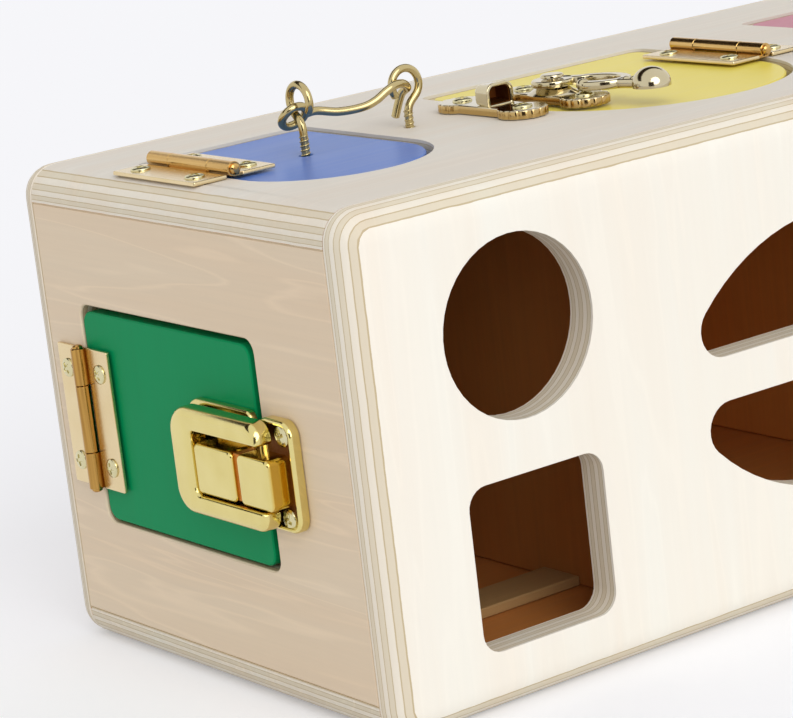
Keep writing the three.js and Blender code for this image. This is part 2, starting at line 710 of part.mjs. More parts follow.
function screwEye(centreHeight) {
  const wire = EYE_WIRE / 2;
  const ring = toSolid(new THREE.TorusGeometry(EYE_RADIUS, wire, WIRE_FACETS, 24).rotateX(Math.PI / 2));
  const neck = centreHeight - EYE_RADIUS;
  const profile = [[0, -EYE_DEPTH], [wire / 2, -EYE_DEPTH]];
  const pitch = EYE_WIRE / 2;
  for (let z = -EYE_DEPTH + pitch; z + pitch < neck - wire; z += pitch) {
    profile.push([wire, z], [wire + THREAD_RIDGE, z + pitch / 2]);
  }
  profile.push([wire, neck - wire], [wire, neck], [0, neck]);
  return join(shifted(ring, 0, 0, centreHeight), turned(profile, SCREW_FACETS));
}

// A round wire along a smooth curve through points
function wireAlong(points, diameter, steps) {
  const path = new THREE.CatmullRomCurve3(points.map((p) => new THREE.Vector3(...p)));
  const section = new THREE.Shape();
  for (let i = 0; i < WIRE_FACETS; i += 1) {
    const angle = (2 * Math.PI * i) / WIRE_FACETS;
    const [x, y] = [(diameter / 2) * Math.cos(angle), (diameter / 2) * Math.sin(angle)];
    if (i === 0) {
      section.moveTo(x, y);
    } else {
      section.lineTo(x, y);
    }
  }
  return toSolid(new THREE.ExtrudeGeometry(section, { steps, extrudePath: path, bevelEnabled: false }));
}

// The hook: its closed eye hangs in the door's eye, its shank runs to the case's eye, rises,
// passes through that ring from the front and hangs down behind it

function buildHook() {
  const group = addGroup(topFace);
  const doorEye = placed(screwEye(DOOR_EYE_CENTRE), new THREE.Matrix4().makeRotationZ(Math.PI / 2));
  addPiece(group, 'door_screw_eye', shifted(doorEye, DOOR_EYE_X, DOOR_EYE_Y, 0), 'paleBrass');
  const caseEye = screwEye(CASE_EYE_CENTRE);
  addPiece(group, 'case_screw_eye', shifted(caseEye, CASE_EYE_X, CASE_EYE_Y, 0), 'paleBrass');

  const wire = HOOK_WIRE / 2;
  const tilt = THREE.MathUtils.degToRad(HOOK_EYE_TILT_DEG);
  const hang = EYE_RADIUS - EYE_WIRE / 2 - wire - RUN_GAP + HOOK_EYE_RADIUS;
  const ringY = DOOR_EYE_Y + hang * Math.sin(tilt);
  const ringZ = DOOR_EYE_CENTRE - hang * Math.cos(tilt);
  const flatRing = new THREE.TorusGeometry(HOOK_EYE_RADIUS, wire, WIRE_FACETS, 20);
  const ring = toSolid(flatRing.rotateX(Math.PI / 2 + tilt));
  const startX = DOOR_EYE_X + HOOK_EYE_RADIUS;
  const crestZ = CASE_EYE_CENTRE;
  const shankZ = crestZ - HOOK_SAG;
  const clear = EYE_WIRE / 2 + wire + RUN_GAP;
  const along = (share) => startX + share * (CASE_EYE_X - startX);
  const before = (share) => CASE_EYE_Y - share * clear;
  const points = [
    [startX, ringY, ringZ],
    [along(0.12), ringY, shankZ + 0.4 * HOOK_SAG],
    [along(0.3), before(0), shankZ],
    [along(0.5), before(0.6), shankZ],
    [along(0.62), before(1), shankZ + 0.35 * HOOK_SAG],
    [along(0.725), before(1.3), crestZ],
    [along(0.82), before(1.3), crestZ + 0.35 * HOOK_SAG],
    [along(0.94), before(0.65), crestZ + 0.25 * HOOK_SAG],
    [along(1.035), before(-0.3), crestZ - 0.35 * HOOK_SAG],
    [along(1.02), before(-1.3), crestZ - HOOK_SAG],
    [along(0.96), before(-1.7), HOOK_TIP],
  ];
  const hook = join(shifted(ring, DOOR_EYE_X, ringY, ringZ), wireAlong(points, HOOK_WIRE, 36));
  addPiece(group, 'hook', hook, 'paleBrass');
}

// Swing clasp: two lobed plates side by side, a hood on the case's plate, a swinging arm on the door's

function lobedPlate(x, y, top) {
  const half = CLASP_LOBE_SPACING / 2;
  const waist = CLASP_WAIST / 2;
  return join(
    plate(disc(x, y - half, CLASP_LOBE), SEAT, top),
    plate(disc(x, y + half, CLASP_LOBE), SEAT, top),
    block([x - waist, y - half, SEAT], [x + waist, y + half, top]));
}

function buildClasp() {
  const group = addGroup(topFace);
  const freeEdge = -MIDDLE_DOOR_WIDTH / 2;
  const keeperX = freeEdge - KEEPER_FROM_EDGE;
  const halfHood = HOOD_WIDTH / 2;
  const hoodFront = KEEPER_Y - HOOD_BEFORE;
  const hoodBack = hoodFront + HOOD_LENGTH;
  const top = SEAT + CLASP_PLATE;
  const hoodOutline = roundedRectangle(
    keeperX - halfHood, hoodFront, keeperX + halfHood, hoodBack, HOOD_CORNER);
  const mouth = block(
    [keeperX - halfHood + HOOD_WALL, hoodFront - 1, top],
    [keeperX + halfHood - HOOD_WALL, hoodBack - HOOD_WALL, HOOD_TOP - HOOD_WALL]);
  const hood = crownedPlate(hoodOutline, top - CLASP_PLATE / 2, HOOD_TOP, HOOD_ROUND);
  addPiece(group, 'clasp_keeper', cut(join(lobedPlate(keeperX, KEEPER_Y, top), hood), mouth), 'paleBrass');

  const baseX = freeEdge + CLASP_FROM_EDGE + DOOR_GAP;
  const boss = shifted(rod(RIVET_BOSS, top - CLASP_PLATE / 2, ARM_BOTTOM - RUN_GAP), baseX, CLASP_Y, 0);
  const bore = shifted(rod(RIVET + 2 * RUN_GAP, -DOOR_RECESS, ARM_BOTTOM + ARM + 1), baseX, CLASP_Y, 0);
  addPiece(group, 'clasp_base', cut(join(lobedPlate(baseX, CLASP_Y, top), boss), bore), 'paleBrass');

  const capLow = ARM_BOTTOM + ARM + RUN_GAP;
  const rivet = turned([
    [0, SEAT], [RIVET / 2, SEAT], [RIVET / 2, capLow], [RIVET_CAP / 2, capLow],
    [RIVET_CAP / 2, capLow + RIVET_CAP_HEIGHT], [0, capLow + RIVET_CAP_HEIGHT],
  ], PIN_FACETS);
  addPiece(group, 'clasp_rivet', shifted(rivet, baseX, CLASP_Y, 0), 'paleBrass');

  const armGroup = new THREE.Group();
  armGroup.position.set(baseX, CLASP_Y, 0);
  armGroup.rotation.z = THREE.MathUtils.degToRad(ARM_REST_DEG);
  group.add(armGroup);
  addPiece(armGroup, 'clasp_arm', clawArm(), 'paleBrass');
}

// The arm lies along local X from the rivet: a disc, an open oval throat whose prong points back
// toward the rivet, a neck and a domed knob

function clawArm() {
  const [low, high] = [ARM_BOTTOM, ARM_BOTTOM + ARM];
  const turn = arc(0, 0, 1, 0, 4 * QUARTER).slice(1);
  const oval = (grow) => new THREE.Shape(turn.map((point) => new THREE.Vector2(
    THROAT_CENTRE + (THROAT_LENGTH / 2 + grow) * point.x,
    THROAT_OFFSET + (THROAT_WIDTH / 2 + grow) * point.y)));
  const ring = cut(plate(oval(THROAT_BAR), low, high), plate(oval(0), low - 1, high + 1));
  const prongSide = -THROAT_WIDTH - 2 * THROAT_BAR;
  const mouth = block([ARM_DISC / 2, prongSide, low - 1], [PRONG_TIP, -ARM_DISC / 2, high + 1]);
  const neckStart = THROAT_CENTRE + THROAT_LENGTH / 2 + THROAT_BAR / 2;
  const neck = block([neckStart, -NECK_WIDTH / 2, low], [ARM_REACH, NECK_WIDTH / 2, high]);
  const knob = turned([
    [0, low - RUN_GAP], [KNOB_RADIUS, low - RUN_GAP], [KNOB_RADIUS, low + 1],
    [KNOB_RADIUS * 0.85, low + KNOB_HEIGHT * 0.62], [KNOB_RADIUS * 0.5, low + KNOB_HEIGHT * 0.92],
    [0, low + KNOB_HEIGHT],
  ], PIN_FACETS);
  const plain = join(
    plate(disc(0, 0, ARM_DISC), low, high), cut(ring, mouth), neck, shifted(knob, ARM_REACH, 0, 0));
  return cut(plain, rod(RIVET + 2 * RUN_GAP, low - 1, high + 1));
}

// Barrel bolt: a strapped plate on the right top door, a sliding bolt and a keeper strap on the top

function strap(x, width, rodHeight) {
  const turn = new THREE.Matrix4().makeRotationY(Math.PI / 2).setPosition(x, BOLT_Y, rodHeight);
  const outside = BOLT_ROD / 2 + RUN_GAP + BOLT_STRAP_WALL;
  const hump = join(
    placed(rod(2 * outside, -width / 2, width / 2), turn),
    block(
      [x - width / 2, BOLT_Y - 0.95 * outside, SEAT + BOLT_PLATE / 2],
      [x + width / 2, BOLT_Y + 0.95 * outside, rodHeight - RUN_GAP]));
  const room = 2 * outside;
  return hump.intersect(block(
    [x - width, BOLT_Y - room, SEAT + BOLT_PLATE / 2], [x + width, BOLT_Y + room, rodHeight + room]));
}

function buildBolt() {
  const group = addGroup(topFace);
  const opening = SIDE_DOOR_X - SIDE_DOOR_WIDTH / 2;
  const left = opening + DOOR_GAP + BOLT_FROM_EDGE;
  const right = left + BOLT_PLATE_LENGTH;
  const half = BOLT_PLATE_WIDTH / 2;
  const top = SEAT + BOLT_PLATE;
  const rodHeight = top + 1.5 * RUN_GAP + BOLT_ROD / 2;
  const turn = new THREE.Matrix4().makeRotationY(Math.PI / 2).setPosition(0, BOLT_Y, rodHeight);
  const rodRoom = placed(rod(BOLT_ROD + 2 * RUN_GAP, 0, LENGTH), turn);
  const plateOutline = roundedRectangle(left, BOLT_Y - half, right, BOLT_Y + half, BOLT_STRAP / 2);
  const strapInset = BOLT_STRAP;
  const straps = [left + strapInset, right - strapInset].map((x) => strap(x, BOLT_STRAP, rodHeight));
  addPiece(group, 'bolt_plate', cut(join(plate(plateOutline, SEAT, top), ...straps), rodRoom), 'brass');

  const bar = placed(rod(BOLT_ROD, left, right), turn);
  const knobX = right - strapInset - BOLT_STRAP / 2 - BOLT_KNOB / 2 - RUN_GAP;
  const knob = turned([
    [0, 0], [BOLT_KNOB / 2.5, 0], [BOLT_KNOB / 2.5, BOLT_KNOB_HEIGHT * 0.6],
    [BOLT_KNOB / 2, BOLT_KNOB_HEIGHT * 0.75], [BOLT_KNOB / 2, BOLT_KNOB_HEIGHT * 0.9],
    [0, BOLT_KNOB_HEIGHT],
  ], PIN_FACETS);
  addPiece(group, 'bolt_bar', join(bar, shifted(knob, knobX, BOLT_Y, rodHeight)), 'brass');

  const keeperX = opening - BOLT_KEEPER_FROM_EDGE - BOLT_KEEPER_WIDTH / 2;
  const keeperHalf = BOLT_KEEPER_WIDTH / 2;
  const keeperOutline = roundedRectangle(
    keeperX - keeperHalf, BOLT_Y - half, keeperX + keeperHalf, BOLT_Y + half, BOLT_STRAP / 2);
  const keeperStrap = strap(keeperX, BOLT_KEEPER_WIDTH - 1, rodHeight);
  addPiece(group, 'bolt_keeper', cut(join(plate(keeperOutline, SEAT, top), keeperStrap), rodRoom), 'brass');
}

buildCase();
buildDoors();
buildStops();
hinges.forEach(buildHinge);
buildLatch();
buildHook();
buildClasp();
buildBolt();

export default box;
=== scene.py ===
# %% [markdown]
# A plywood lock box: shape holes in the front, one painted door in the left end and three in the top,
# each door held by a latch of its own kind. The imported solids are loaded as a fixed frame, and every
# piece made here takes its place from them. Sizes in the code are millimetres.

# %% The frame
import json
from math import atan2, ceil, cos, pi, radians, sin, sqrt, tan

import bmesh
import bpy
from mathutils import Matrix, Vector


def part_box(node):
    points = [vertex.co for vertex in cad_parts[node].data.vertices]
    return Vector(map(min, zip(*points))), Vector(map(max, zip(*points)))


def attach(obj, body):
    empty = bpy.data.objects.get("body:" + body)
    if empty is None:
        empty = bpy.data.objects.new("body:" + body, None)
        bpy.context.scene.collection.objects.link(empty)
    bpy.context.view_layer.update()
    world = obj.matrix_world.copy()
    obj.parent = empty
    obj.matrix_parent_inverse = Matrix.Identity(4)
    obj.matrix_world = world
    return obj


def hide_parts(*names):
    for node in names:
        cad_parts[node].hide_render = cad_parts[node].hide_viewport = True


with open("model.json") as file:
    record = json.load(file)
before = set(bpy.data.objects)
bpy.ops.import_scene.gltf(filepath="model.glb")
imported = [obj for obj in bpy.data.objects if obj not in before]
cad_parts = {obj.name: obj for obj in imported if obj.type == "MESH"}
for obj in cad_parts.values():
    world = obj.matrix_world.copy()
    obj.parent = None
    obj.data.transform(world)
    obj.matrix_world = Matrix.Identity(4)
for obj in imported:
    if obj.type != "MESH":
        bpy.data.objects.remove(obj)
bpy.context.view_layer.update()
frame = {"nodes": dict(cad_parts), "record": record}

MM = 0.001


# %% [markdown]
# The camera comes first, so that every later picture is judged from the photograph's own place. It was
# found from the straight edges and the holes of the box: a long lens, low on the left of the front,
# rolled a little. The axes of a camera are its right, its up and the way back from what it sees.

# %% The camera
IMAGE_WIDTH = 793
FOCAL_PIXELS = 3266.9
CAMERA_AT = Vector((-542.62, -660.68, 261.82)) * MM
AZIMUTH, ELEVATION, ROLL = radians(34.867), radians(13.429), radians(6.823)
SENSOR = 36
FARTHEST = 100
scene = bpy.context.scene


def add_object(name, data):
    """A new object in the scene."""
    thing = bpy.data.objects.new(name, data)
    scene.collection.objects.link(thing)
    return thing


forward = Vector((sin(AZIMUTH) * cos(ELEVATION), cos(AZIMUTH) * cos(ELEVATION), -sin(ELEVATION)))
level_right = forward.cross(Vector((0, 0, 1))).normalized()
level_down = forward.cross(level_right)
camera_right = level_right * cos(ROLL) + level_down * sin(ROLL)
camera_down = level_down * cos(ROLL) - level_right * sin(ROLL)

camera = add_object("camera", bpy.data.cameras.new("camera"))
camera.matrix_world = Matrix.Translation(CAMERA_AT) @ Matrix(
    (camera_right, -camera_down, -forward)).transposed().to_4x4()
camera.data.sensor_fit = "HORIZONTAL"
camera.data.sensor_width = SENSOR
camera.data.lens = SENSOR * FOCAL_PIXELS / IMAGE_WIDTH
camera.data.clip_end = FARTHEST
scene.camera = camera
scene.view_settings.view_transform = "Standard"
print("lens", round(camera.data.lens, 1), "mm")

# %% [markdown]
# A material is a small network of nodes. Its colours are written as on a screen, in sRGB, while the
# renderer counts light, so one helper turns them to linear. A second one adds a node with its settings
# and links, which keeps each material short enough to read in one go.

# %% Helpers for all materials


def linear(code):
    """An sRGB hex colour as linear red, green, blue and alpha."""
    shares = [int(code[i:i + 2], 16) / 255 for i in (1, 3, 5)]
    return [s / 12.92 if s <= 0.04045 else ((s + 0.055) / 1.055) ** 2.4 for s in shares] + [1]


def add_node(tree, kind, inputs=None, **settings):
    """One shader node with its settings; an input is a value, an output, or a node for its first output."""
    node = tree.nodes.new("ShaderNode" + kind)
    for name, value in settings.items():
        setattr(node, name, value)
    for socket, value in (inputs or {}).items():
        if isinstance(value, bpy.types.Node):
            value = next(output for output in value.outputs if output.enabled)
        if isinstance(value, bpy.types.NodeSocket):
            tree.links.new(value, node.inputs[socket])
        else:
            node.inputs[socket].default_value = value
    return node


def empty_tree(owner):
    """The node tree of a material or a world, without its first nodes."""
    owner.use_nodes = True
    owner.node_tree.nodes.clear()
    return owner.node_tree


def stretched(across, along, axis):
    """The scale of a pattern of a width and a length in mm, its length lying on axis 0, 1 or 2."""
    scale = [1 / (across * MM)] * 3
    scale[axis] = 1 / (along * MM)
    return scale


print("middle grey in linear light:", round(linear("#808080")[0], 3))

# %% [markdown]
# The light is a big soft lamp in front of the box and a bright room. A sun lamp with a wide angle gives
# the same light all over the floor, so the floor has no bright pool. The camera and the reflections see
# the room and the floor brighter than the light that these give, so the white stays white and the
# object isn't washed out.

# %% The light and the floor
SUN_FROM = Vector((-0.2, -0.85, 0.5))
SUN_STRENGTH = 1.3
SUN_ANGLE = radians(50)
ROOM_LIGHT = 0.7
BACKDROP = "#f6f6f8"
FLOOR_SIDE = 30
FLOOR_GLOW = 0.285


def seen_directly(tree):
    """1 for what the camera sees, directly or in a reflection, and 0 for light that falls on things."""
    path = add_node(tree, "LightPath")
    seen = path.outputs["Is Camera Ray"]
    for ray in ("Is Glossy Ray", "Is Transmission Ray"):
        seen = add_node(tree, "Math", {0: seen, 1: path.outputs[ray]}, operation="MAXIMUM")
    return seen


def stage_sheet(name, corners, material):
    """A flat sheet of the studio, its four corners in metres."""
    mesh = bpy.data.meshes.new(name)
    mesh.from_pydata(corners, [], [(0, 1, 2, 3)])
    mesh.materials.append(material)
    sheet = add_object(name, mesh)
    return sheet


sun = add_object("soft_lamp", bpy.data.lights.new("soft_lamp", "SUN"))
sun.data.energy = SUN_STRENGTH
sun.data.angle = SUN_ANGLE
sun.rotation_euler = SUN_FROM.to_track_quat("Z", "Y").to_euler()

scene.world = bpy.data.worlds.new("white_room")
tree = empty_tree(scene.world)
strength = add_node(tree, "MapRange", {"Value": seen_directly(tree), "To Min": ROOM_LIGHT, "To Max": 1.0})
room = add_node(tree, "Background", {"Color": linear(BACKDROP), "Strength": strength})
add_node(tree, "OutputWorld", {"Surface": room})

floor_paint = bpy.data.materials.new("matt_white_studio_floor")
tree = empty_tree(floor_paint)
glow = add_node(tree, "Math", {0: seen_directly(tree), 1: FLOOR_GLOW}, operation="MULTIPLY")
matt = add_node(tree, "BsdfDiffuse", {"Color": linear("#e4e4e6")})
lift = add_node(tree, "Emission", {"Color": linear(BACKDROP), "Strength": glow})
both = add_node(tree, "AddShader", {0: matt, 1: lift})
add_node(tree, "OutputMaterial", {"Surface": both})
half = FLOOR_SIDE / 2
stage_sheet("floor", [(-half, -half, 0), (half, -half, 0), (half, half, 0), (-half, half, 0)], floor_paint)
print("floor side", FLOOR_SIDE, "m")

# %% [markdown]
# Polished metal in an all-white room looks flat, because all it can show is white. A photographer hangs
# a dark card above and behind the object, and stands in dark clothes behind the camera: that gives the
# metal its dark lines. Here both cards show in reflections only, so they take no light from the object.

# %% The dark cards
CARDS = {
    "overhead_card": [(-2.6, 0.75, 1.5), (2.6, 0.75, 1.5), (2.6, 2.1, 1.5), (-2.6, 2.1, 1.5)],
    "camera_card": [(-1.25, -0.8, 0.02), (-0.6, -1.25, 0.02), (-0.6, -1.25, 0.75), (-1.25, -0.8, 0.75)]}
card_cloth = bpy.data.materials.new("black_studio_cloth")
tree = empty_tree(card_cloth)
add_node(tree, "OutputMaterial", {"Surface": add_node(tree, "BsdfDiffuse", {"Color": linear("#3a2f26")})})
for name, corners in CARDS.items():
    card = stage_sheet(name, corners, card_cloth)
    card.visible_camera = False
    card.visible_diffuse = False
    card.visible_transmission = False
    card.visible_shadow = False
print("cards:", len(CARDS))

# %% [markdown]
# The sheets are birch plywood, sawn, eased and fine-sanded, with a thin clear coat. What the eye gets
# is a pale face with faint grain, and on every cut edge the plies as stripes. The plies lie flat in the
# sheet, so the stripe is found from the depth below the sheet's outer face. That draws the right
# stripes on a rounded edge and on the wall of a hole alike, with no unwrapping.

# %% Plies
SHEET = 8.5
# Depth where each ply begins, and the kind of ply that a cut shows there
PLIES = [(0, "face"), (0.8, "glue"), (1.0, "cross"), (2.0, "glue"), (2.2, "long"), (3.6, "glue"),
         (3.8, "cross"), (5.0, "glue"), (5.2, "long"), (6.4, "glue"), (6.6, "cross"), (7.6, "glue"),
         (7.75, "long"), (8.42, "inside")]
# The veneers are not quite even: their borders wander by this much
WANDER = 0.08


def ply_stripes(tree, metres, axis, outer_face, outward, colours):
    """The colour at each depth below a sheet's outer face; outward is 1 or -1 on axis 0, 1 or 2."""
    split = add_node(tree, "SeparateXYZ", {0: metres})
    depth = add_node(tree, "Math", {
        0: split.outputs[axis], 1: -outward / (SHEET * MM), 2: outward * outer_face / SHEET},
        operation="MULTIPLY_ADD")
    uneven = add_node(tree, "TexNoise", {"Vector": metres, "Scale": 1 / (5 * MM), "Detail": 3})
    wander = add_node(tree, "MapRange", {
        "Value": uneven, "To Min": -WANDER / SHEET, "To Max": WANDER / SHEET})
    depth = add_node(tree, "Math", {0: depth, 1: wander})
    plies = add_node(tree, "ValToRGB", {0: depth})
    plies.color_ramp.interpolation = "CONSTANT"
    stops = plies.color_ramp.elements
    stops.remove(stops[1])
    stops[0].color = linear(colours["face"])
    for start, kind in PLIES[1:]:
        stops.new(start / SHEET).color = linear(colours[kind])
    return plies


print("plywood:", len(PLIES), "plies and glue lines in", SHEET, "mm")

# %% [markdown]
# A birch face shows two patterns, both drawn out along the grain: short fibres, which also roughen the
# coat a little, and the wider figure of the growth rings. Both are noise stretched on one axis, and
# they only scale the colour of the ply below.

# %% Birch plywood


def birch_plywood(name, axis, outer_face, outward, face, tints, grain_axis, figure, streak):
    """Plywood whose plies lie across an axis, with the strengths of its figure and its fibre streaks."""
    material = bpy.data.materials.new(name)
    tree = empty_tree(material)
    metres = add_node(tree, "TexCoord").outputs["Object"]
    plies = ply_stripes(tree, metres, axis, outer_face, outward, {"face": face, **tints})
    # Fibre streaks: about 60 mm along the grain and 1.6 mm across it
    along = add_node(tree, "Mapping", {"Vector": metres, "Scale": stretched(1.6, 60, grain_axis)})
    streaks = add_node(tree, "TexNoise", {
        "Vector": along, "Scale": 1, "Detail": 4, "Roughness": 0.6, "Distortion": 0.3})
    # Growth figure: pale lines 2 to 12 mm apart
    drawn = add_node(tree, "Mapping", {"Vector": metres, "Scale": stretched(12, 170, grain_axis)})
    warp = add_node(tree, "TexNoise", {
        "Vector": drawn, "Scale": 1, "Detail": 2.5, "Roughness": 0.45, "Distortion": 0.4})
    rings = add_node(tree, "Math", {0: warp, 1: 7.0}, operation="MULTIPLY")
    rings = add_node(tree, "Math", {0: rings, 1: 0.5}, operation="PINGPONG")
    lines = add_node(tree, "MapRange", {
        "Value": rings, "From Min": 0.36, "From Max": 0.5, "To Min": 1.0, "To Max": 1 + 0.3 * figure})
    fine = add_node(tree, "MapRange", {
        "Value": streaks, "From Min": 0.3, "From Max": 0.7, "To Min": 1 - 0.1 * streak, "To Max": 1.0})
    grain = add_node(tree, "Math", {0: lines, 1: fine}, operation="MULTIPLY")
    blush = add_node(tree, "Mix", {
        "Factor": warp, 6: linear("#fff4ec"), 7: linear("#ffffff")}, data_type="RGBA")
    toned = add_node(tree, "Mix", {
        "Factor": 1.0, 6: plies, 7: blush}, data_type="RGBA", blend_type="MULTIPLY")
    scaled = add_node(tree, "VectorMath", {0: toned, "Scale": grain}, operation="SCALE")
    dull = add_node(tree, "MapRange", {"Value": streaks, "To Min": 0.5, "To Max": 0.68})
    fibre = add_node(tree, "Bump", {"Height": streaks, "Strength": 0.1, "Distance": 0.12 * MM})
    wood = add_node(tree, "BsdfPrincipled", {
        "Base Color": scaled, "Roughness": dull, "Normal": fibre, "IOR": 1.5,
        "Specular IOR Level": 0.25})
    add_node(tree, "OutputMaterial", {"Surface": wood})
    return material


def sawn_birch(name, colour, grain_axis):
    """Wood deep below any outer face, so of one colour all through; dried glue takes its grain too."""
    return birch_plywood(name, 1, -100, -1, colour, WARM_PLIES | {"inside": colour}, grain_axis, 0.1, 0.8)


# The innermost veneer, the inside face of every sheet, is painted brown: painted shade of the box's unlit
# inside
INSIDE_PAINTED_SHADE = "#cc8746"
PALE_PLIES = {"glue": "#cbbd9b", "cross": "#e5dec9", "long": "#f2eee0", "inside": INSIDE_PAINTED_SHADE}
WARM_PLIES = {"glue": "#b39e80", "cross": "#cdb898", "long": "#eae0cc", "inside": INSIDE_PAINTED_SHADE}
# Axis across the sheet, way out, face colour, plies, grain axis, figure and streak
SHEET_LOOKS = {
    "front_sheet": (1, -1, "#faf9ef", PALE_PLIES, 2, 0.06, 0.15),
    "back_sheet": (1, 1, "#f6ead8", PALE_PLIES, 2, 0.25, 0.5),
    "top_sheet": (2, 1, "#e9e6dc", PALE_PLIES, 0, 0.1, 0.2),
    "bottom_sheet": (2, -1, "#e6dccb", PALE_PLIES, 0, 0.2, 0.5),
    "left_end_sheet": (0, -1, "#efdfc5", WARM_PLIES, 1, 0.24, 0.4),
    "right_end_sheet": (0, 1, "#efdfc5", WARM_PLIES, 1, 0.24, 0.4)}
wood_of = {}
for node, (axis, outward, *look) in SHEET_LOOKS.items():
    outer_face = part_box(node)[1 if outward > 0 else 0][axis] / MM
    side = node.split("_")[0]
    wood_of[node] = birch_plywood("sanded_birch_ply_" + side, axis, outer_face, outward, *look)
# The dividers and door stops inside the box are browner than pale birch: painted shade of the unlit inside
inner_ply_painted_shade = sawn_birch("sawn_birch_inside_painted_shade", "#c17f42", 2)
for node in ("left_divider", "green_door_stop", "blue_door_stop", "yellow_door_stop", "pink_door_stop"):
    wood_of[node] = inner_ply_painted_shade
# The right divider's orange is painted shade with warm bounced light
wood_of["right_divider"] = sawn_birch("sawn_birch_right_divider_painted_warm_shade", "#e29a4e", 2)
# The batten is a darker tan than its pale birch: painted shade
wood_of["floor_batten"] = sawn_birch("planed_birch_batten_painted_shade", "#b99664", 0)
print("plywood pieces:", len(wood_of))

# %% [markdown]
# The doors are the same plywood under satin water paint, put on with a small foam roller. The paint is
# nearly even, and lets a little of the wood's grain show as a ripple.

# %% Satin paint


def satin_paint(name, colour, deep, grain_axis, sheen):
    """Roller-painted plywood: a colour that deepens in soft clouds, over a faint grain."""
    material = bpy.data.materials.new(name)
    tree = empty_tree(material)
    metres = add_node(tree, "TexCoord").outputs["Object"]
    along = add_node(tree, "Mapping", {"Vector": metres, "Scale": stretched(1.6, 45, grain_axis)})
    grain = add_node(tree, "TexNoise", {"Vector": along, "Scale": 1, "Detail": 3, "Roughness": 0.55})
    clouds = add_node(tree, "TexNoise", {"Vector": metres, "Scale": 1 / (30 * MM), "Detail": 2})
    # The roller's stipple is about 0.7 mm on the real door
    stipple = add_node(tree, "TexNoise", {"Vector": metres, "Scale": 1 / (0.7 * MM), "Detail": 1})
    amount = add_node(tree, "Mix", {"Factor": 0.45, 2: clouds, 3: grain}, data_type="FLOAT")
    mixed = add_node(tree, "Mix", {
        "Factor": amount, 6: linear(deep), 7: linear(colour)}, data_type="RGBA")
    height = add_node(tree, "Math", {0: grain, 1: stipple}, operation="ADD")
    ripple = add_node(tree, "Bump", {"Height": height, "Strength": 0.1, "Distance": 0.1 * MM})
    gloss = add_node(tree, "MapRange", {"Value": grain, "To Min": 0.26, "To Max": 0.4})
    paint = add_node(tree, "BsdfPrincipled", {
        "Base Color": mixed, "Roughness": gloss, "Normal": ripple, "IOR": 1.48,
        "Specular IOR Level": sheen})
    add_node(tree, "OutputMaterial", {"Surface": paint})
    return material


# Colour, deeper colour, grain axis and sheen
PAINTS = {
    "green": ("#0e9a60", "#068f54", 2, 0.07), "blue": ("#6288d4", "#5075c4", 0, 0.2),
    "yellow": ("#f8e770", "#eeda50", 0, 0.14), "pink": ("#d17f92", "#c0687c", 0, 0.18)}
paint_of = {colour: satin_paint(f"satin_{colour}_paint", *look) for colour, look in PAINTS.items()}
print("paints:", *paint_of)

# %% [markdown]
# The hardware is pressed or cast, polished in a drum and plated with brass: deep gold on the hinges,
# lighter on the case latch, and pale, nearly nickel, on the hook, the clasp and the screws. Polish
# gives sharp reflections, and the drum leaves fine marks, drawn as a slight change of roughness. Inside
# the castings, in the keeper's dish and the hood's lining, the metal is rougher and painted dark brown
# as shade; the lip between the latch blocks is rougher and orange.

# %% Brass plate


def brass_plate(name, colour, shade, roughness, side=None, flat_axis=2, drawn=None):
    """Drum-polished plate: mirror-like, with faint rub marks. Side is a second colour for the walls,
    the faces that turn away from flat_axis, and drawn is the axis of painted reflections: dark and
    bright streaks along it."""
    material = bpy.data.materials.new(name)
    tree = empty_tree(material)
    place = add_node(tree, "TexCoord")
    metres = place.outputs["Object"]
    # Rub marks are about 0.15 mm on the real plate; 0.6 mm is as fine as the picture can show
    rubs = add_node(tree, "TexNoise", {
        "Vector": metres, "Scale": 1 / (0.6 * MM), "Detail": 3, "Roughness": 0.65})
    haze_size = stretched(9, 9, 0) if drawn is None else stretched(0.7, 25, drawn)
    spread = add_node(tree, "Mapping", {"Vector": metres, "Scale": haze_size})
    haze = add_node(tree, "TexNoise", {"Vector": spread, "Scale": 1, "Detail": 2})
    polish = add_node(tree, "MapRange", {
        "Value": rubs, "From Min": 0.3, "From Max": 0.7,
        "To Min": roughness * 0.75, "To Max": roughness * 1.4})
    tone = add_node(tree, "Mix", {"Factor": haze, 6: linear(shade), 7: linear(colour)}, data_type="RGBA")
    if side:
        facing = add_node(tree, "SeparateXYZ", {0: place.outputs["Normal"]})
        level = add_node(tree, "Math", {0: facing.outputs[flat_axis]}, operation="ABSOLUTE")
        level = add_node(tree, "MapRange", {"Value": level, "From Min": 0.1, "From Max": 0.7})
        tone = add_node(tree, "Mix", {"Factor": level, 6: linear(side), 7: tone}, data_type="RGBA")
    dents = add_node(tree, "Bump", {"Height": haze, "Strength": 0.05, "Distance": 0.2 * MM})
    metal = add_node(tree, "BsdfPrincipled", {
        "Base Color": tone, "Metallic": 1.0, "Roughness": polish, "Normal": dents})
    add_node(tree, "OutputMaterial", {"Surface": metal})
    return material


leaf_brass = brass_plate("polished_brass_leaf", "#ecd9b0", "#e0c894", 0.2)
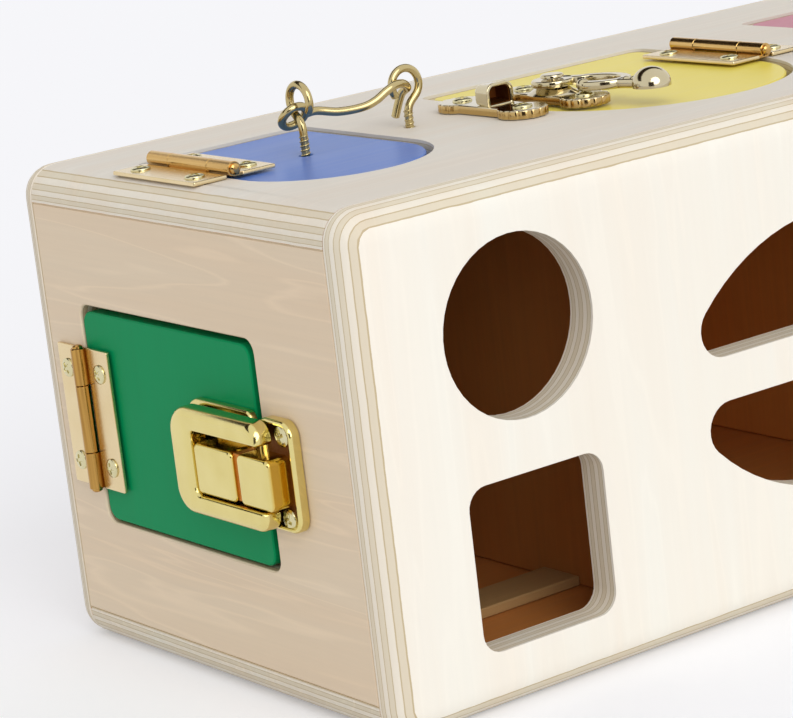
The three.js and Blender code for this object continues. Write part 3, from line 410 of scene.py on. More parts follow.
# Knuckles, pins and bolt: a deeper gold than the leaves, with dark and bright streaks along an axis:
# painted reflections
painted_reflection_brass = brass_plate("polished_brass_knuckle_painted_reflections", "#ecc884", "#b98c48", 0.16, drawn=1)
upright_painted_reflection_brass = brass_plate("polished_brass_upright_knuckle_painted_reflections", "#e4b664", "#805622", 0.15, drawn=2)
latch_brass = brass_plate("polished_light_brass_plate", "#eadc98", "#dccb80", 0.14)
hook_brass = brass_plate("polished_olive_brass_wire", "#d2c08e", "#b3a06c", 0.16)
clasp_brass = brass_plate("polished_pale_brass_casting", "#d8cdb0", "#c6b88e", 0.12)
clasp_plate_brass = brass_plate("polished_pale_brass_plate", "#d8cfb6", "#c8bc9c", 0.12, side="#c2a266")
block_brass = brass_plate(
    "polished_light_brass_block", "#eadc98", "#dccb80", 0.14, side="#d6b04c", flat_axis=0)
screw_nickel = brass_plate("polished_nickel_plate", "#e2dbb4", "#cfc594", 0.2)
# Dark brown inside the keeper's dish and the hood's lining: painted shade
shaded_casting_brass = brass_plate("unpolished_casting_inside_painted_shade", "#7a4a22", "#5c3415", 0.45)
groove_brass = brass_plate("unpolished_casting_groove", "#e09a52", "#c67f3c", 0.4)
print("plates:", leaf_brass.name, painted_reflection_brass.name, latch_brass.name, hook_brass.name, clasp_brass.name)

# %% [markdown]
# The wood pieces keep the shape of their solids, with their sharp edges eased by sandpaper. The copy is
# cleaned of the flat triangles' extra edges first, so that only real edges are left to ease.

# %% Eased sheets
EASE = 0.35
SAME_POINT = 0.002
FLAT, SHARP = radians(0.5), radians(40)
body_of = {node: body for body, nodes in frame["record"]["behaviour"]["bodies"].items() for node in nodes}


def add_piece(name, mesh, material, node, instead=True, smooth=30):
    """Puts a mesh in the scene as a piece of a node's body, instead of the node or beside it."""
    mesh.materials.clear()
    mesh.materials.append(material)
    mesh.shade_smooth()
    mesh.set_sharp_from_angle(angle=radians(smooth))
    piece = add_object(name, mesh)
    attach(piece, body_of[node])
    if instead:
        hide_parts(node)


def eased_copy(node, ease):
    """A node's mesh without its flat seams, its sharp edges cut off by a small chamfer."""
    solid = bmesh.new()
    solid.from_mesh(frame["nodes"][node].data)
    bmesh.ops.remove_doubles(solid, verts=solid.verts, dist=SAME_POINT * MM)
    bmesh.ops.dissolve_limit(solid, angle_limit=FLAT, verts=solid.verts, edges=solid.edges)
    sharp = [e for e in solid.edges if len(e.link_faces) == 2 and e.calc_face_angle(0) > SHARP]
    bmesh.ops.bevel(solid, geom=sharp, offset=ease * MM, segments=1, affect="EDGES", clamp_overlap=True)
    mesh = bpy.data.meshes.new(node)
    solid.to_mesh(mesh)
    solid.free()
    return mesh


for node, ply in wood_of.items():
    add_piece(node + "_wood", eased_copy(node, EASE), ply, node)
for colour, paint in paint_of.items():
    node = colour + "_door"
    add_piece(node + "_wood", eased_copy(node, EASE), paint, node)
print("wood pieces:", len(wood_of) + len(paint_of))

# %% [markdown]
# The hardware is drawn again with finer shapes than its solids. Four ways of drawing are enough: an
# outline with rounded corners, a stack of rings skinned into a surface, a turned profile, and a round
# wire along a smooth path. Each works in the hardware's own frame, laid on the face that carries it.

# %% Outlines
ARC_STEP = radians(10)


def filleted(corners):
    """A closed outline through corners (x, y, radius), each one rounded by an arc."""
    points = []
    for k, (x, y, radius) in enumerate(corners):
        corner = Vector((x, y))
        before = (Vector(corners[k - 1][:2]) - corner).normalized()
        after = (Vector(corners[(k + 1) % len(corners)][:2]) - corner).normalized()
        half = before.angle(after) / 2
        centre = corner + (before + after).normalized() * (radius / sin(half))
        start = corner + before * (radius / tan(half)) - centre
        stop = corner + after * (radius / tan(half)) - centre
        first = atan2(start.y, start.x)
        sweep = (atan2(stop.y, stop.x) - first + pi) % (2 * pi) - pi
        count = max(2, ceil(abs(sweep) / ARC_STEP))
        for i in range(count + 1):
            angle = first + sweep * i / count
            points.append(centre + Vector((cos(angle), sin(angle))) * radius)
    return points


def rounded_box(left, right, low, high, radius, *radii):
    """A box outline; one radius serves all four corners, or each has its own, anticlockwise."""
    a, b, c, d = (radius, *radii) if radii else [radius] * 4
    return filleted([(left, low, a), (right, low, b), (right, high, c), (left, high, d)])


def drawn_in(outline, inset, shares=None):
    """An outline that runs anticlockwise, moved inward by inset, or by a share of it at each point."""
    inner = []
    for k, point in enumerate(outline):
        ahead = (outline[(k + 1) % len(outline)] - point).normalized()
        behind = (point - outline[k - 1]).normalized()
        normal = Vector((-ahead.y - behind.y, ahead.x + behind.x)).normalized()
        step = inset / max(0.3, normal.dot(Vector((-ahead.y, ahead.x))))
        inner.append(point + normal * step * (shares[k] if shares else 1))
    return inner


print("arc step", round(ARC_STEP * 180 / pi), "degrees")

# %% Surfaces


def skinned(rings, hollow=False):
    """Points and faces over rings of equal count: closed at both ends, or hollow, back to the first."""
    count = len(rings[0])
    points = [Vector(point) for ring in rings for point in ring]
    faces = []
    for r in range(len(rings) if hollow else len(rings) - 1):
        after = (r + 1) % len(rings)
        for i in range(count):
            j = (i + 1) % count
            faces.append((r * count + i, r * count + j, after * count + j, after * count + i))
    if not hollow:
        faces.append(tuple(range(count)))
        faces.append(tuple((len(rings) - 1) * count + i for i in range(count)))
    return points, faces


def from_level(level, steps):
    """Steps of a profile, (inset, height), with their heights counted from a level."""
    return [(inset, level + height) for inset, height in steps]


def mirrored(profile):
    """A profile of (radius, height) with its mirror image below it."""
    return [(r, -z) for r, z in profile[::-1]] + profile


def pressed(outline, profile):
    """A plate from an outline; the profile is a list of (inset, height)."""
    return skinned([[(p.x, p.y, z) for p in drawn_in(outline, inset)] for inset, z in profile])


def drawn_along(section, steps):
    """An upright section drawn along y; the steps are a list of (inset, y)."""
    return skinned([[(p.x, y, p.y) for p in drawn_in(section, inset)] for inset, y in steps])


def turned(profile, around=40):
    """A turned form from a list of (radius, height)."""
    turns = [2 * pi * i / around for i in range(around)]
    return skinned([[(r * cos(a), r * sin(a), z) for a in turns] for r, z in profile])


def smooth_path(points, steps):
    """Points along a smooth curve through the given ones."""
    line = [Vector(p) for p in points]
    path = []
    for k in range(len(line) - 1):
        a, b = line[max(k - 1, 0)], line[k]
        c, d = line[k + 1], line[min(k + 2, len(line) - 1)]
        for i in range(steps):
            t = i / steps
            path.append(0.5 * (2 * b + (c - a) * t + (2 * a - 5 * b + 4 * c - d) * t ** 2
                               + (3 * b - a - 3 * c + d) * t ** 3))
    return path + [line[-1]]


def wire(path, radius, sides=16, blunt=True):
    """A round wire along a path; a blunt wire has its ends rounded off."""
    last = len(path) - 1
    along = [(path[min(i + 1, last)] - path[max(i - 1, 0)]).normalized() for i in range(len(path))]
    turns = [2 * pi * k / sides for k in range(sides)]
    side = along[0].orthogonal().normalized()
    rings = []
    for i, (point, ahead) in enumerate(zip(path, along)):
        side = (side - ahead * side.dot(ahead)).normalized()
        up = ahead.cross(side)
        ring = [side * cos(a) + up * sin(a) for a in turns]
        outward = ahead if i else -ahead
        tips = [[point + (outward * lift + r * share) * radius for r in ring]
                for share, lift in ((0.3, 0.35), (0.75, 0.2))] if blunt and i in (0, last) else []
        if i == 0:
            rings += tips
        rings.append([point + r * radius for r in ring])
        if i == last:
            rings += tips[::-1]
    return skinned(rings)


def moved(form, matrix):
    """A form put elsewhere."""
    return [matrix @ point for point in form[0]], form[1]


print("surfaces: plate, drawn section, turned form, wire")

# %% Frames


def add_drawn(name, forms, place, material, node, instead=True, smooth=30):
    """A piece that is one mesh of several forms in millimetres, laid in the given frame."""
    points, faces = [], []
    for form_points, form_faces in forms:
        faces += [tuple(i + len(points) for i in face) for face in form_faces]
        points += [place @ point for point in form_points]
    mesh = bpy.data.meshes.new(name)
    mesh.from_pydata(points, [], faces)
    whole = bmesh.new()
    whole.from_mesh(mesh)
    bmesh.ops.recalc_face_normals(whole, faces=whole.faces)
    whole.to_mesh(mesh)
    whole.free()
    add_piece(name, mesh, material, node, instead, smooth)


def laid_on(x_dir, y_dir, origin):
    """The frame of a face: its own x and y in the world, z out of it, millimetres to metres."""
    x, y = Vector(x_dir), Vector(y_dir)
    turn = Matrix((x, y, x.cross(y))).transposed().to_4x4()
    return Matrix.Translation(Vector(origin) * MM) @ turn @ Matrix.Scale(MM, 4)


def box_in(node, place):
    """A node's lowest and highest corners in a face's frame, in mm."""
    back = place.inverted()
    corners = [back @ Vector(corner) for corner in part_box(node)]
    return (Vector(min(a, b) for a, b in zip(*corners)), Vector(max(a, b) for a, b in zip(*corners)))


box_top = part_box("top_sheet")[1][2] / MM
left_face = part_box("left_end_sheet")[0][0] / MM
whole_box = laid_on((1, 0, 0), (0, 1, 0), (0, 0, 0))
top = laid_on((1, 0, 0), (0, 1, 0), (0, 0, box_top))
end = laid_on((0, -1, 0), (0, 0, 1), (left_face, 0, box_top / 2))
print("faces: top at", round(box_top, 2), "left end at", round(left_face, 2))

# %% [markdown]
# Each end sheet is glued in between four others. A squeezed-out line of glue fills the gap round it,
# sanded level with the wood, so the joint reads as a pale thin line and not as a dark slit.

# %% Glue lines
GLUE_DEPTH = 1.5
GLUE_WIDTH = 0.18
GLUE_SUNK = 0.05
glue = sawn_birch("dried_wood_glue", "#dccfae", 1)
for node, outward in (("left_end_sheet", -1), ("right_end_sheet", 1)):
    low, high = box_in(node, whole_box)
    face = high.x if outward > 0 else low.x
    rings = []
    for depth, grow in ((GLUE_DEPTH, 0), (GLUE_DEPTH, GLUE_WIDTH), (GLUE_SUNK, GLUE_WIDTH), (GLUE_SUNK, 0)):
        front, back, under, over = low.y - grow, high.y + grow, low.z - grow, high.z + grow
        rings.append([(face - outward * depth, y, z) for y, z in (
            (front, under), (back, under), (back, over), (front, over))])
    ring = skinned(rings, hollow=True)
    add_drawn(node + "_glue", [ring], whole_box, glue, node, instead=False)
print("glue lines:", GLUE_DEPTH, "mm deep")

# %% [markdown]
# A screw is a pan head with a cross recess. Seen from above, both the cross and the rim of the head can
# be drawn as a distance from the middle for every direction, so the head is a stack of rings that
# change from the cross to a circle.

# %% Screws
# Shares of the head's radius, then shares of its height
CROSS_ARM, CROSS_SLOT, CROSS_FLOOR = 0.62, 0.17, 0.55
RECESS, RIM_HEIGHT = 0.45, 0.35
AROUND = 64
screws = []


def pan_head(radius, height):
    """A screw head, its underside at zero."""
    turns = [2 * pi * (i + 0.5) / AROUND for i in range(AROUND)]

    def cross(angle):
        """Distance to the edge of the cross: the end of an arm, or the side of one."""
        near = abs((angle + pi / 4) % (pi / 2) - pi / 4)
        return min(CROSS_ARM / cos(near), CROSS_SLOT / max(sin(near), 1e-6)) * radius

    def dome(r):
        """The crown of the head at a distance from its middle."""
        return height * (RIM_HEIGHT + (1 - RIM_HEIGHT) * sqrt(max(0.0, 1 - (r / radius) ** 2)))

    def ring(reach, z=None):
        """A ring on the crown or at a height: reach 0 is the cross and 1 is the rim."""
        places = [cross(a) + (radius - cross(a)) * reach for a in turns]
        return [(r * cos(a), r * sin(a), dome(r) if z is None else z) for r, a in zip(places, turns)]

    recess_floor = [(CROSS_FLOOR * x, CROSS_FLOOR * y, height * (1 - RECESS)) for x, y, z in ring(0)]
    crown = [ring(reach) for reach in (0.02, 0.15, 0.4, 0.65, 0.85, 0.95, 1)]
    return skinned([recess_floor, ring(0, height * (1 - 0.8 * RECESS)), *crown, ring(1, 0)])


def drive_screw(name, x, y, z, place, node, radius, height, turn, instead=False):
    """A screw head on a plate, in the frame of the plate's face."""
    there = Matrix.Translation((x, y, z)) @ Matrix.Rotation(turn, 4, "Z")
    head = moved(pan_head(radius, height), there)
    add_drawn(name, [head], place, screw_nickel, node, instead, smooth=40)
    screws.append(name)


print("screw heads have", AROUND, "sides")

# %% [markdown]
# A butt hinge is two stamped leaves rolled round a pin. A leaf is a flat plate, and each of its knuckles
# is one section drawn along the pin: the end of the leaf, then a full turn round the pin. The knuckles
# and the pin are painted a deeper gold than the leaves, with dark and bright streaks along the pin:
# painted reflections. The pin's ends are peened over.

# %% Knuckles
LEAF = 1.0
LEAF_CORNER = 0.5
KNUCKLE = 9.6
KNUCKLE_WALL = 0.95
KNUCKLE_GAP = 0.25
CASE_SHY = 0.12
STAMP = 0.15
HINGE_SCREW, HINGE_SCREW_HEIGHT = 2.5, 0.85
# The two screws of a leaf stopped at different turns
HINGE_SCREW_TURNS = {1: 1.7, 2: 2.2}


def rolled_section(side, axis_height, radius):
    """A knuckle's section across the pin as an outline; side is 1 for the leaf toward +x."""
    inner = radius - KNUCKLE_WALL
    tab_end = radius + 2 * KNUCKLE_GAP
    tab_top = LEAF - 0.04
    turn = [radians(-90 - 10 * i) for i in range(35)]
    corners = [(tab_end, tab_top), (inner * 0.6, tab_top)]
    corners += [(inner * cos(a), axis_height + inner * sin(a)) for a in turn[1:]]
    corners += [(radius * cos(a), axis_height + radius * sin(a)) for a in turn[::-1]]
    corners += [(tab_end, axis_height - radius)]
    outline = [Vector((side * x, z)) for x, z in corners]
    area = sum(a.x * b.y - b.x * a.y for a, b in zip(outline, outline[1:] + outline[:1]))
    return outline if area > 0 else outline[::-1]


def knuckle(section, start, stop):
    """A section drawn along the pin, its two ends eased."""
    return drawn_along(section, [(STAMP, start), (0, start + STAMP), (0, stop - STAMP), (STAMP, stop)])


print("outer knuckles", KNUCKLE, "mm long")

# %% Hinges
for colour in paint_of:
    on_end = colour == "green"
    place = end if on_end else top
    # The upright knuckles get darker painted reflection streaks than the lying ones
    knuckle_painted_reflection_brass = upright_painted_reflection_brass if on_end else painted_reflection_brass
    pin_low, pin_high = box_in(colour + "_hinge_pin", place)
    leaf_low, leaf_high = box_in(colour + "_hinge_door_leaf", place)
    axis = (pin_low + pin_high) / 2
    outer_edge = leaf_high.x if leaf_high.x - axis.x > axis.x - leaf_low.x else leaf_low.x
    face = place @ Matrix.Translation((axis.x, axis.y, leaf_low.z))
    face = face @ Matrix.Rotation(0 if outer_edge > axis.x else pi, 4, "Z")
    width = abs(outer_edge - axis.x)
    half = (leaf_high.y - leaf_low.y) / 2
    axis_height = axis.z - leaf_low.z
    barrel = leaf_high.z - axis.z
    split = half - KNUCKLE
    spans = [(-half, -split), (-split, split), (split, half)]
    for leaf, side, rolled, shy in (("door", 1, spans[::2], 0), ("case", -1, spans[1:2], CASE_SHY)):
        node = f"{colour}_hinge_{leaf}_leaf"
        near, far = sorted((side * (barrel + KNUCKLE_GAP), side * width))
        plate = pressed(rounded_box(near, far, -half, half, LEAF_CORNER), [
            (STAMP, 0), (0, STAMP), *from_level(LEAF, [(0, -0.25), (0.07, -0.08), (0.25, 0), (0.45, 0)])])
        add_drawn(node + "_plate", [plate], face, leaf_brass, node)
        section = rolled_section(side, axis_height, barrel)
        knuckles = [knuckle(section, start + shy, stop - shy) for start, stop in rolled]
        add_drawn(node + "_knuckles", knuckles, face, knuckle_painted_reflection_brass, node, instead=False)
    pin_half = (pin_high.y - pin_low.y) / 2
    peen = [(0.9, half), (1.4, half + 0.1), *from_level(pin_half, [(1.35, -0.45), (0.9, -0.1), (0.01, 0)])]
    lying = Matrix.Translation((0, 0, axis_height)) @ Matrix.Rotation(pi / 2, 4, "X")
    node = colour + "_hinge_pin"
    pin_form = moved(turned(mirrored(peen), 24), lying)
    add_drawn(node + "_brass", [pin_form], face, knuckle_painted_reflection_brass, node)
    for where in ("case", "door"):
        for number, turn in HINGE_SCREW_TURNS.items():
            node = f"{colour}_hinge_{where}_screw_{number}"
            screw_low, screw_high = box_in(node, place)
            middle = (screw_low + screw_high) / 2
            drive_screw(node + "_head", middle.x, middle.y, leaf_low.z + LEAF, place, node,
                        HINGE_SCREW, HINGE_SCREW_HEIGHT, turn, instead=True)
print("hinges:", len(paint_of), "with", len(screws), "screws")

# %% [markdown]
# The case latch of the end door is die-cast: a rimmed keeper plate on the case with a block, a plate and
# a second block on the door, and a hollow forked lever that closes round both. All three have generous
# rounded edges that pull bright lines of light, so each is an outline drawn in and lifted in many steps.

# %% Latch keeper
ROUND_STEPS = [(1 - cos(radians(a)), sin(radians(a))) for a in (15, 30, 45, 60, 75, 90)]
BLOCK_LOW, BLOCK_HIGH = -7.5, 5.1
BLOCK_CORNER, BLOCK_ROUND = 1.6, 1.2
KEEPER_RIM, KEEPER_CORNER, KEEPER_IN = 3.0, 4, 2
DISH_DEPTH = 1.5
TONGUE_OUT, TONGUE_IN = 1, 12.2
KEEPER_SCREW, KEEPER_SCREW_HEIGHT, KEEPER_SCREW_TURN = 2.7, 1.5, 0.35


def rounded_top(radius, top_height):
    """The profile of a rounded upper edge: insets and heights up to a flat top."""
    return [(radius * inset, top_height - radius + radius * lift) for inset, lift in ROUND_STEPS]


def cast_block(left, right, low, high):
    """A latch block: straight walls and a rounded upper edge."""
    walls = [(0, low), (0, high - BLOCK_ROUND)]
    return pressed(rounded_box(left, right, BLOCK_LOW, BLOCK_HIGH, BLOCK_CORNER),
                   walls + rounded_top(BLOCK_ROUND, high) + [(BLOCK_ROUND + 0.25, high + 0.03)])


keeper_low, keeper_high = box_in("latch_keeper", end)
latch = end @ Matrix.Translation((0, (keeper_low.y + keeper_high.y) / 2, 0))
keeper_low, keeper_high = box_in("latch_keeper", latch)
block_top = keeper_high.z
rim = keeper_low.z + KEEPER_RIM
dish = rim - DISH_DEPTH
plate_outline = rounded_box(
    keeper_low.x + KEEPER_IN, keeper_high.x, keeper_low.y, keeper_high.y, KEEPER_CORNER)
plate_form = pressed(plate_outline, [
    *from_level(keeper_low.z, [(0.3, 0), (0, 0.3)]),
    *from_level(rim, [(0, -0.9), (0.1, -0.5), (0.35, -0.15), (0.75, 0), (1.15, -0.1), (1.45, -0.45),
                      (1.6, -1.1)]),
    *from_level(dish, [(1.75, 0.15), (2.1, 0), (2.3, 0)])])
add_drawn("latch_keeper_casting", [plate_form], latch, latch_brass, "latch_keeper")
tongue_left, tongue_right = keeper_low.x - TONGUE_OUT, keeper_low.x + TONGUE_IN
tongue_form = cast_block(tongue_left, tongue_right, keeper_low.z + 0.6, block_top)
add_drawn("latch_keeper_tongue", [tongue_form], latch, block_brass, "latch_keeper", instead=False)
# The dish is painted dark brown: painted shade in the recess
dish_form = pressed(drawn_in(plate_outline, 1.9), from_level(dish, [
    (0.1, -0.1), (0, 0), (0, 0.08), (0.15, 0.12)]))
add_drawn("latch_keeper_dish", [dish_form], latch, shaded_casting_brass, "latch_keeper", instead=False)
for where, x, y, way in (("upper", tongue_right - 1, 9.8, 1), ("lower", tongue_right - 1.9, -10.7, -1)):
    drive_screw(f"latch_keeper_{where}_screw", x, y, dish, latch, "latch_keeper",
                KEEPER_SCREW, KEEPER_SCREW_HEIGHT, way * KEEPER_SCREW_TURN)
print("latch keeper", [round(v, 1) for v in keeper_high - keeper_low], "mm")

# %% [markdown]
# The catch sits on the door: a plate, its block, and a lug at the far end that holds the lever's pin.
# Between the two blocks a lower lip closes most of the gap, so that only a shallow groove is seen.

# %% Latch catch
DOOR_PLATE = 2.2
# Where the block starts and stops, from the catch's edge next to the keeper
CATCH_START, CATCH_STOP = 18.6, 2.2
LIP_DROP = 1.3
LIP_IN = 0.4
LUG, LUG_HALF = 1.25, 5.8
NECK_HALF = 5.5
PIN = 1
catch_low, catch_high = box_in("latch_catch", latch)
pin_low, pin_high = box_in("latch_pin", latch)
pin_at = (pin_low + pin_high) / 2
pin_half = (pin_high.y - pin_low.y) / 2
across = Matrix.Translation(pin_at) @ Matrix.Rotation(pi / 2, 4, "X")
catch_left, catch_right = catch_high.x - CATCH_START, catch_high.x - CATCH_STOP
plate_top = catch_low.z + DOOR_PLATE
door_plate = pressed(
    rounded_box(catch_low.x, catch_high.x - 0.9, catch_low.y, catch_high.y, 4, 2.5, 2.5, 4), [
        *from_level(catch_low.z, [(0.3, 0), (0, 0.3)]),
        *from_level(plate_top, [(0, -0.7), (0.1, -0.35), (0.35, -0.08), (0.7, 0), (1.2, 0)])])
lug = moved(turned(mirrored([(LUG, LUG_HALF - 0.2), (LUG - 0.15, LUG_HALF)]), 24), across)
neck = pressed(rounded_box(pin_at.x + 0.4, pin_at.x + 1.3, -NECK_HALF, NECK_HALF, 0.3),
               [(0, catch_low.z + 1), (0, pin_at.z)])
add_drawn("latch_catch_casting", [door_plate, lug, neck], latch, latch_brass, "latch_catch")
catch_block = cast_block(catch_left, catch_right, catch_low.z + 0.5, block_top)
add_drawn("latch_catch_block", [catch_block], latch, block_brass, "latch_catch", instead=False)
lip_top = block_top - LIP_DROP
lip_outline = rounded_box(
    catch_right - 1.2, tongue_left - 0.3, BLOCK_LOW + LIP_IN, BLOCK_HIGH - LIP_IN, LIP_IN)
lip = pressed(lip_outline, [(0, catch_low.z + 1), (0, lip_top - 0.2), (0.2, lip_top)])
add_drawn("latch_catch_lip", [lip], latch, groove_brass, "latch_catch", instead=False)
pin_form = moved(turned(mirrored([(PIN, pin_half - 0.3), (PIN - 0.3, pin_half)]), 24), across)
add_drawn("latch_pin_steel", [pin_form], latch, screw_nickel, "latch_pin")
print("catch block", round(catch_right - catch_left, 1), "mm long")

# %% [markdown]
# The lever is a hollow casting, open toward the door and forked round the blocks. One stack of rings
# draws it: down the inside from the roof to the rim, round the rim, and up over the crown. The wall of
# its closed end is notched, so that it passes the lug as it turns.

# %% Latch lever
LEVER_WALL = 0.9
LEVER_ROUND = 2.4
LEVER_ROOF = 1.5
NOTCH_HALF, NOTCH_RISE = 6.4, 1.9
WINDOW_ROUND, WINDOW_CLEAR = 0.35, 2.8
lever_low, lever_high = box_in("latch_lever", latch)
lever_base, lever_top = lever_low.z, lever_high.z
window_half = BLOCK_HIGH + WINDOW_CLEAR
window_left = catch_left - 0.4
lever_outline = filleted([
    (lever_low.x, lever_low.y, 6.5), (lever_high.x, lever_low.y, 4.2), (lever_high.x, -window_half, 1),
    (window_left, -window_half, 2), (window_left, window_half, 2), (lever_high.x, window_half, 1),
    (lever_high.x, lever_high.y, 4.2), (lever_low.x, lever_high.y, 6.5)])
lever_outline += [Vector((lever_low.x, NOTCH_HALF)), Vector((lever_low.x, -NOTCH_HALF))]


def round_share(point):
    """The round is full on the outside of the lever and small round the window."""
    if point.x < window_left - 0.01:
        return 1.0
    reach = (abs(point.y) - window_half) / (lever_high.y - window_half)
    return WINDOW_ROUND + (1 - WINDOW_ROUND) * min(1.0, max(0.0, reach))


round_shares = [round_share(p) for p in lever_outline]
roof = [(drawn_in(lever_outline, LEVER_WALL), lever_top - LEVER_ROOF, 0)]
rim = [(drawn_in(lever_outline, inset), lever_base + lift, NOTCH_RISE) for inset, lift in (
    (LEVER_WALL, 0.2), (LEVER_WALL - 0.2, 0), (0.3, 0), (0.05, 0.2), (0, 0.5))]
crown = [(drawn_in(lever_outline, inset, round_shares), z, 0)
         for inset, z in [(0, lever_top - LEVER_ROUND)] + rounded_top(LEVER_ROUND, lever_top)]
# The last two points of each ring are the ends of the notch
lever_form = skinned([
    [(p.x, p.y, z + (rise if i >= len(ring) - 2 else 0)) for i, p in enumerate(ring)]
    for ring, z, rise in roof + rim + crown])
add_drawn("latch_lever_casting", [lever_form], latch, latch_brass, "latch_lever")
print("latch lever", [round(v, 1) for v in lever_high - lever_low], "mm")

# %% [markdown]
# The hook latch is bent from round wire. A screw eye is one wire: a threaded stem that leans aside and
# closes into a ring. The thread is a second thin wire wound round the stem as a helix.

# %% Screw eyes
EYE_WIRE = 1.05
THREAD = 0.28
THREAD_SUNK = 0.08
THREAD_PITCH = 1.15
THREAD_LOW, THREAD_TOP = -1, 4.6
THREAD_STEPS = 14


def screw_eye(x_way, y_way, x, y, centre, radius, depth):
    """A screw eye whose ring lies in the upright plane of (x_way, y_way)."""
    def spot(out, z):
        """A point of that plane."""
        return (x + x_way * out, y + y_way * out, z)

    turns = [radians(a) for a in range(-48, 226, 12)]
    goose = [spot(0, -depth), spot(0, 0), spot(0, centre - radius - 3.2), spot(0.7, centre - radius - 1.0)]
    loop = [spot(radius * cos(a), centre + radius * sin(a)) for a in turns]
    ridge = EYE_WIRE - THREAD_SUNK
    helix = []
    for i in range(int(THREAD_STEPS * (THREAD_TOP - THREAD_LOW) / THREAD_PITCH)):
        angle = 2 * pi * i / THREAD_STEPS
        helix.append(Vector((x + ridge * cos(angle), y + ridge * sin(angle),
                             THREAD_LOW + THREAD_PITCH * i / THREAD_STEPS)))
    return [wire(smooth_path(goose + loop, 5), EYE_WIRE), wire(helix, THREAD, 8)]


eyes = {}
for node, x_way, y_way in (("door_screw_eye", 0, 1), ("case_screw_eye", 1, 0)):
    eye_low, eye_high = box_in(node, top)
    eye_at = (eye_low + eye_high) / 2
    reach = max(eye_high.x - eye_low.x, eye_high.y - eye_low.y) / 2
    eye_radius = reach - EYE_WIRE
    centre = eye_high.z - reach
    eyes[node] = Vector((eye_at.x, eye_at.y, centre)), eye_radius
    forms = screw_eye(x_way, y_way, eye_at.x, eye_at.y, centre, eye_radius, -eye_low.z)
    add_drawn(node + "_wire", forms, top, hook_brass, node, smooth=50)
print("eyes", round(eye_radius, 2), "mm in radius")

# %% [markdown]
# The hook is a ring that hangs in the door's eye, with a shank that sags, rises, goes through the other
# eye and hangs down behind it. Its points are set from the two eyes, so it always reaches from one to
# the other.

# %% Hook
HOOK_WIRE = 1.1
HOOK_RING = 3.4
HOOK_TILT = radians(40)
HOOK_SAG = 2.9
HOOK_TIP = 2.6
LINK_GAP = 0.3
door_eye, eye_radius = eyes["door_screw_eye"]
case_eye = eyes["case_screw_eye"][0]
hang = eye_radius - EYE_WIRE - HOOK_WIRE - LINK_GAP + HOOK_RING
ring_up = Vector((0, -sin(HOOK_TILT), cos(HOOK_TILT)))
ring_at = door_eye - ring_up * hang
ring_turns = [2 * pi * i / 40 for i in range(41)]
ring_path = [ring_at + (Vector((1, 0, 0)) * cos(a) + ring_up * sin(a)) * HOOK_RING for a in ring_turns]
start = ring_at + Vector((HOOK_RING, 0, 0))
clear = EYE_WIRE + HOOK_WIRE + LINK_GAP


def shank_point(share, before, rise):
    """A point by its share of the way, clearances before the case's eye and sags above its middle."""
    return (start.x + share * (case_eye.x - start.x), case_eye.y - before * clear,
            case_eye.z + rise * HOOK_SAG)


shank = [tuple(start), (shank_point(0.12, 0, 0)[0], ring_at.y, case_eye.z - 0.6 * HOOK_SAG)]
shank += [shank_point(*spot) for spot in (
    (0.3, 0, -1), (0.5, 0.6, -1), (0.62, 1, -0.65), (0.725, 1.3, 0), (0.82, 1.3, 0.35), (0.94, 0.65, 0.25),
    (1.035, -0.3, -0.35), (1.02, -1.3, -1))]
shank.append((shank_point(0.96, 0, 0)[0], case_eye.y + 1.7 * clear, HOOK_TIP))
forms = [wire(ring_path, HOOK_WIRE, blunt=False), wire(smooth_path(shank, 8), HOOK_WIRE)]
add_drawn("hook_wire", forms, top, hook_brass, "hook", smooth=50)
print("hook spans", round(case_eye.x - door_eye.x, 1), "mm")

# %% [markdown]
# The swing clasp is die-cast too. Its two plates have fluted round ends, which are circles with a small
# groove at even turns. The keeper on the case carries a hood with an open mouth, and the plate on the
# door swells to a boss under the rivet.

# %% Clasp plates
LOBE = 6.5
LOBE_STEPS = 120
WAIST = 4.75
FLUTES = 13
FLUTE = 0.4
PLATE = 2.3
HOOD_HALF, HOOD_LENGTH, HOOD_BEFORE = 4.2, 6.8, 4
BOSS_NARROW = 0.72
CLASP_SCREW, CLASP_SCREW_HEIGHT = 2.6, 1.0


def lobed_outline(x, front, back):
    """Two fluted discs joined by a bar, front and back being the discs' centres in y."""
    meet = atan2(sqrt(LOBE ** 2 - WAIST ** 2), WAIST)
    points = []
    for centre, first, last in ((front, pi - meet, 2 * pi + meet), (back, -meet, pi + meet)):
        for i in range(LOBE_STEPS + 1):
            angle = first + (last - first) * i / LOBE_STEPS
            share = sin(pi * i / LOBE_STEPS)
            groove = (1 - abs(sin(FLUTES * angle / 2))) ** 2
            radius = LOBE - FLUTE * groove * min(1, 3 * share)
            points.append(Vector((x + radius * cos(angle), centre + radius * sin(angle))))
    return points


def lobed_plate(x, front, back, low, high):
    """A clasp plate: straight fluted wall, small round at the top edge."""
    return pressed(lobed_outline(x, front, back), [
        (0.15, low), (0, low + 0.15),
        *from_level(high, [(0, -0.35), (0.05, -0.2), (0.16, -0.06), (0.35, 0), (0.6, 0)])])


keeper_low, keeper_high = box_in("clasp_keeper", top)
base_low, base_high = box_in("clasp_base", top)
rivet_low, rivet_high = box_in("clasp_rivet", top)
plate_top = keeper_low.z + PLATE
plates = {}
for node, low, high in (("clasp_keeper", keeper_low, keeper_high), ("clasp_base", base_low, base_high)):
    x, front, back = (low.x + high.x) / 2, low.y + LOBE, high.y - LOBE
    plates[node] = x, front, back, lobed_plate(x, front, back, low.z, plate_top)
add_drawn("clasp_keeper_casting", [plates["clasp_keeper"][3]], top, clasp_plate_brass, "clasp_keeper")

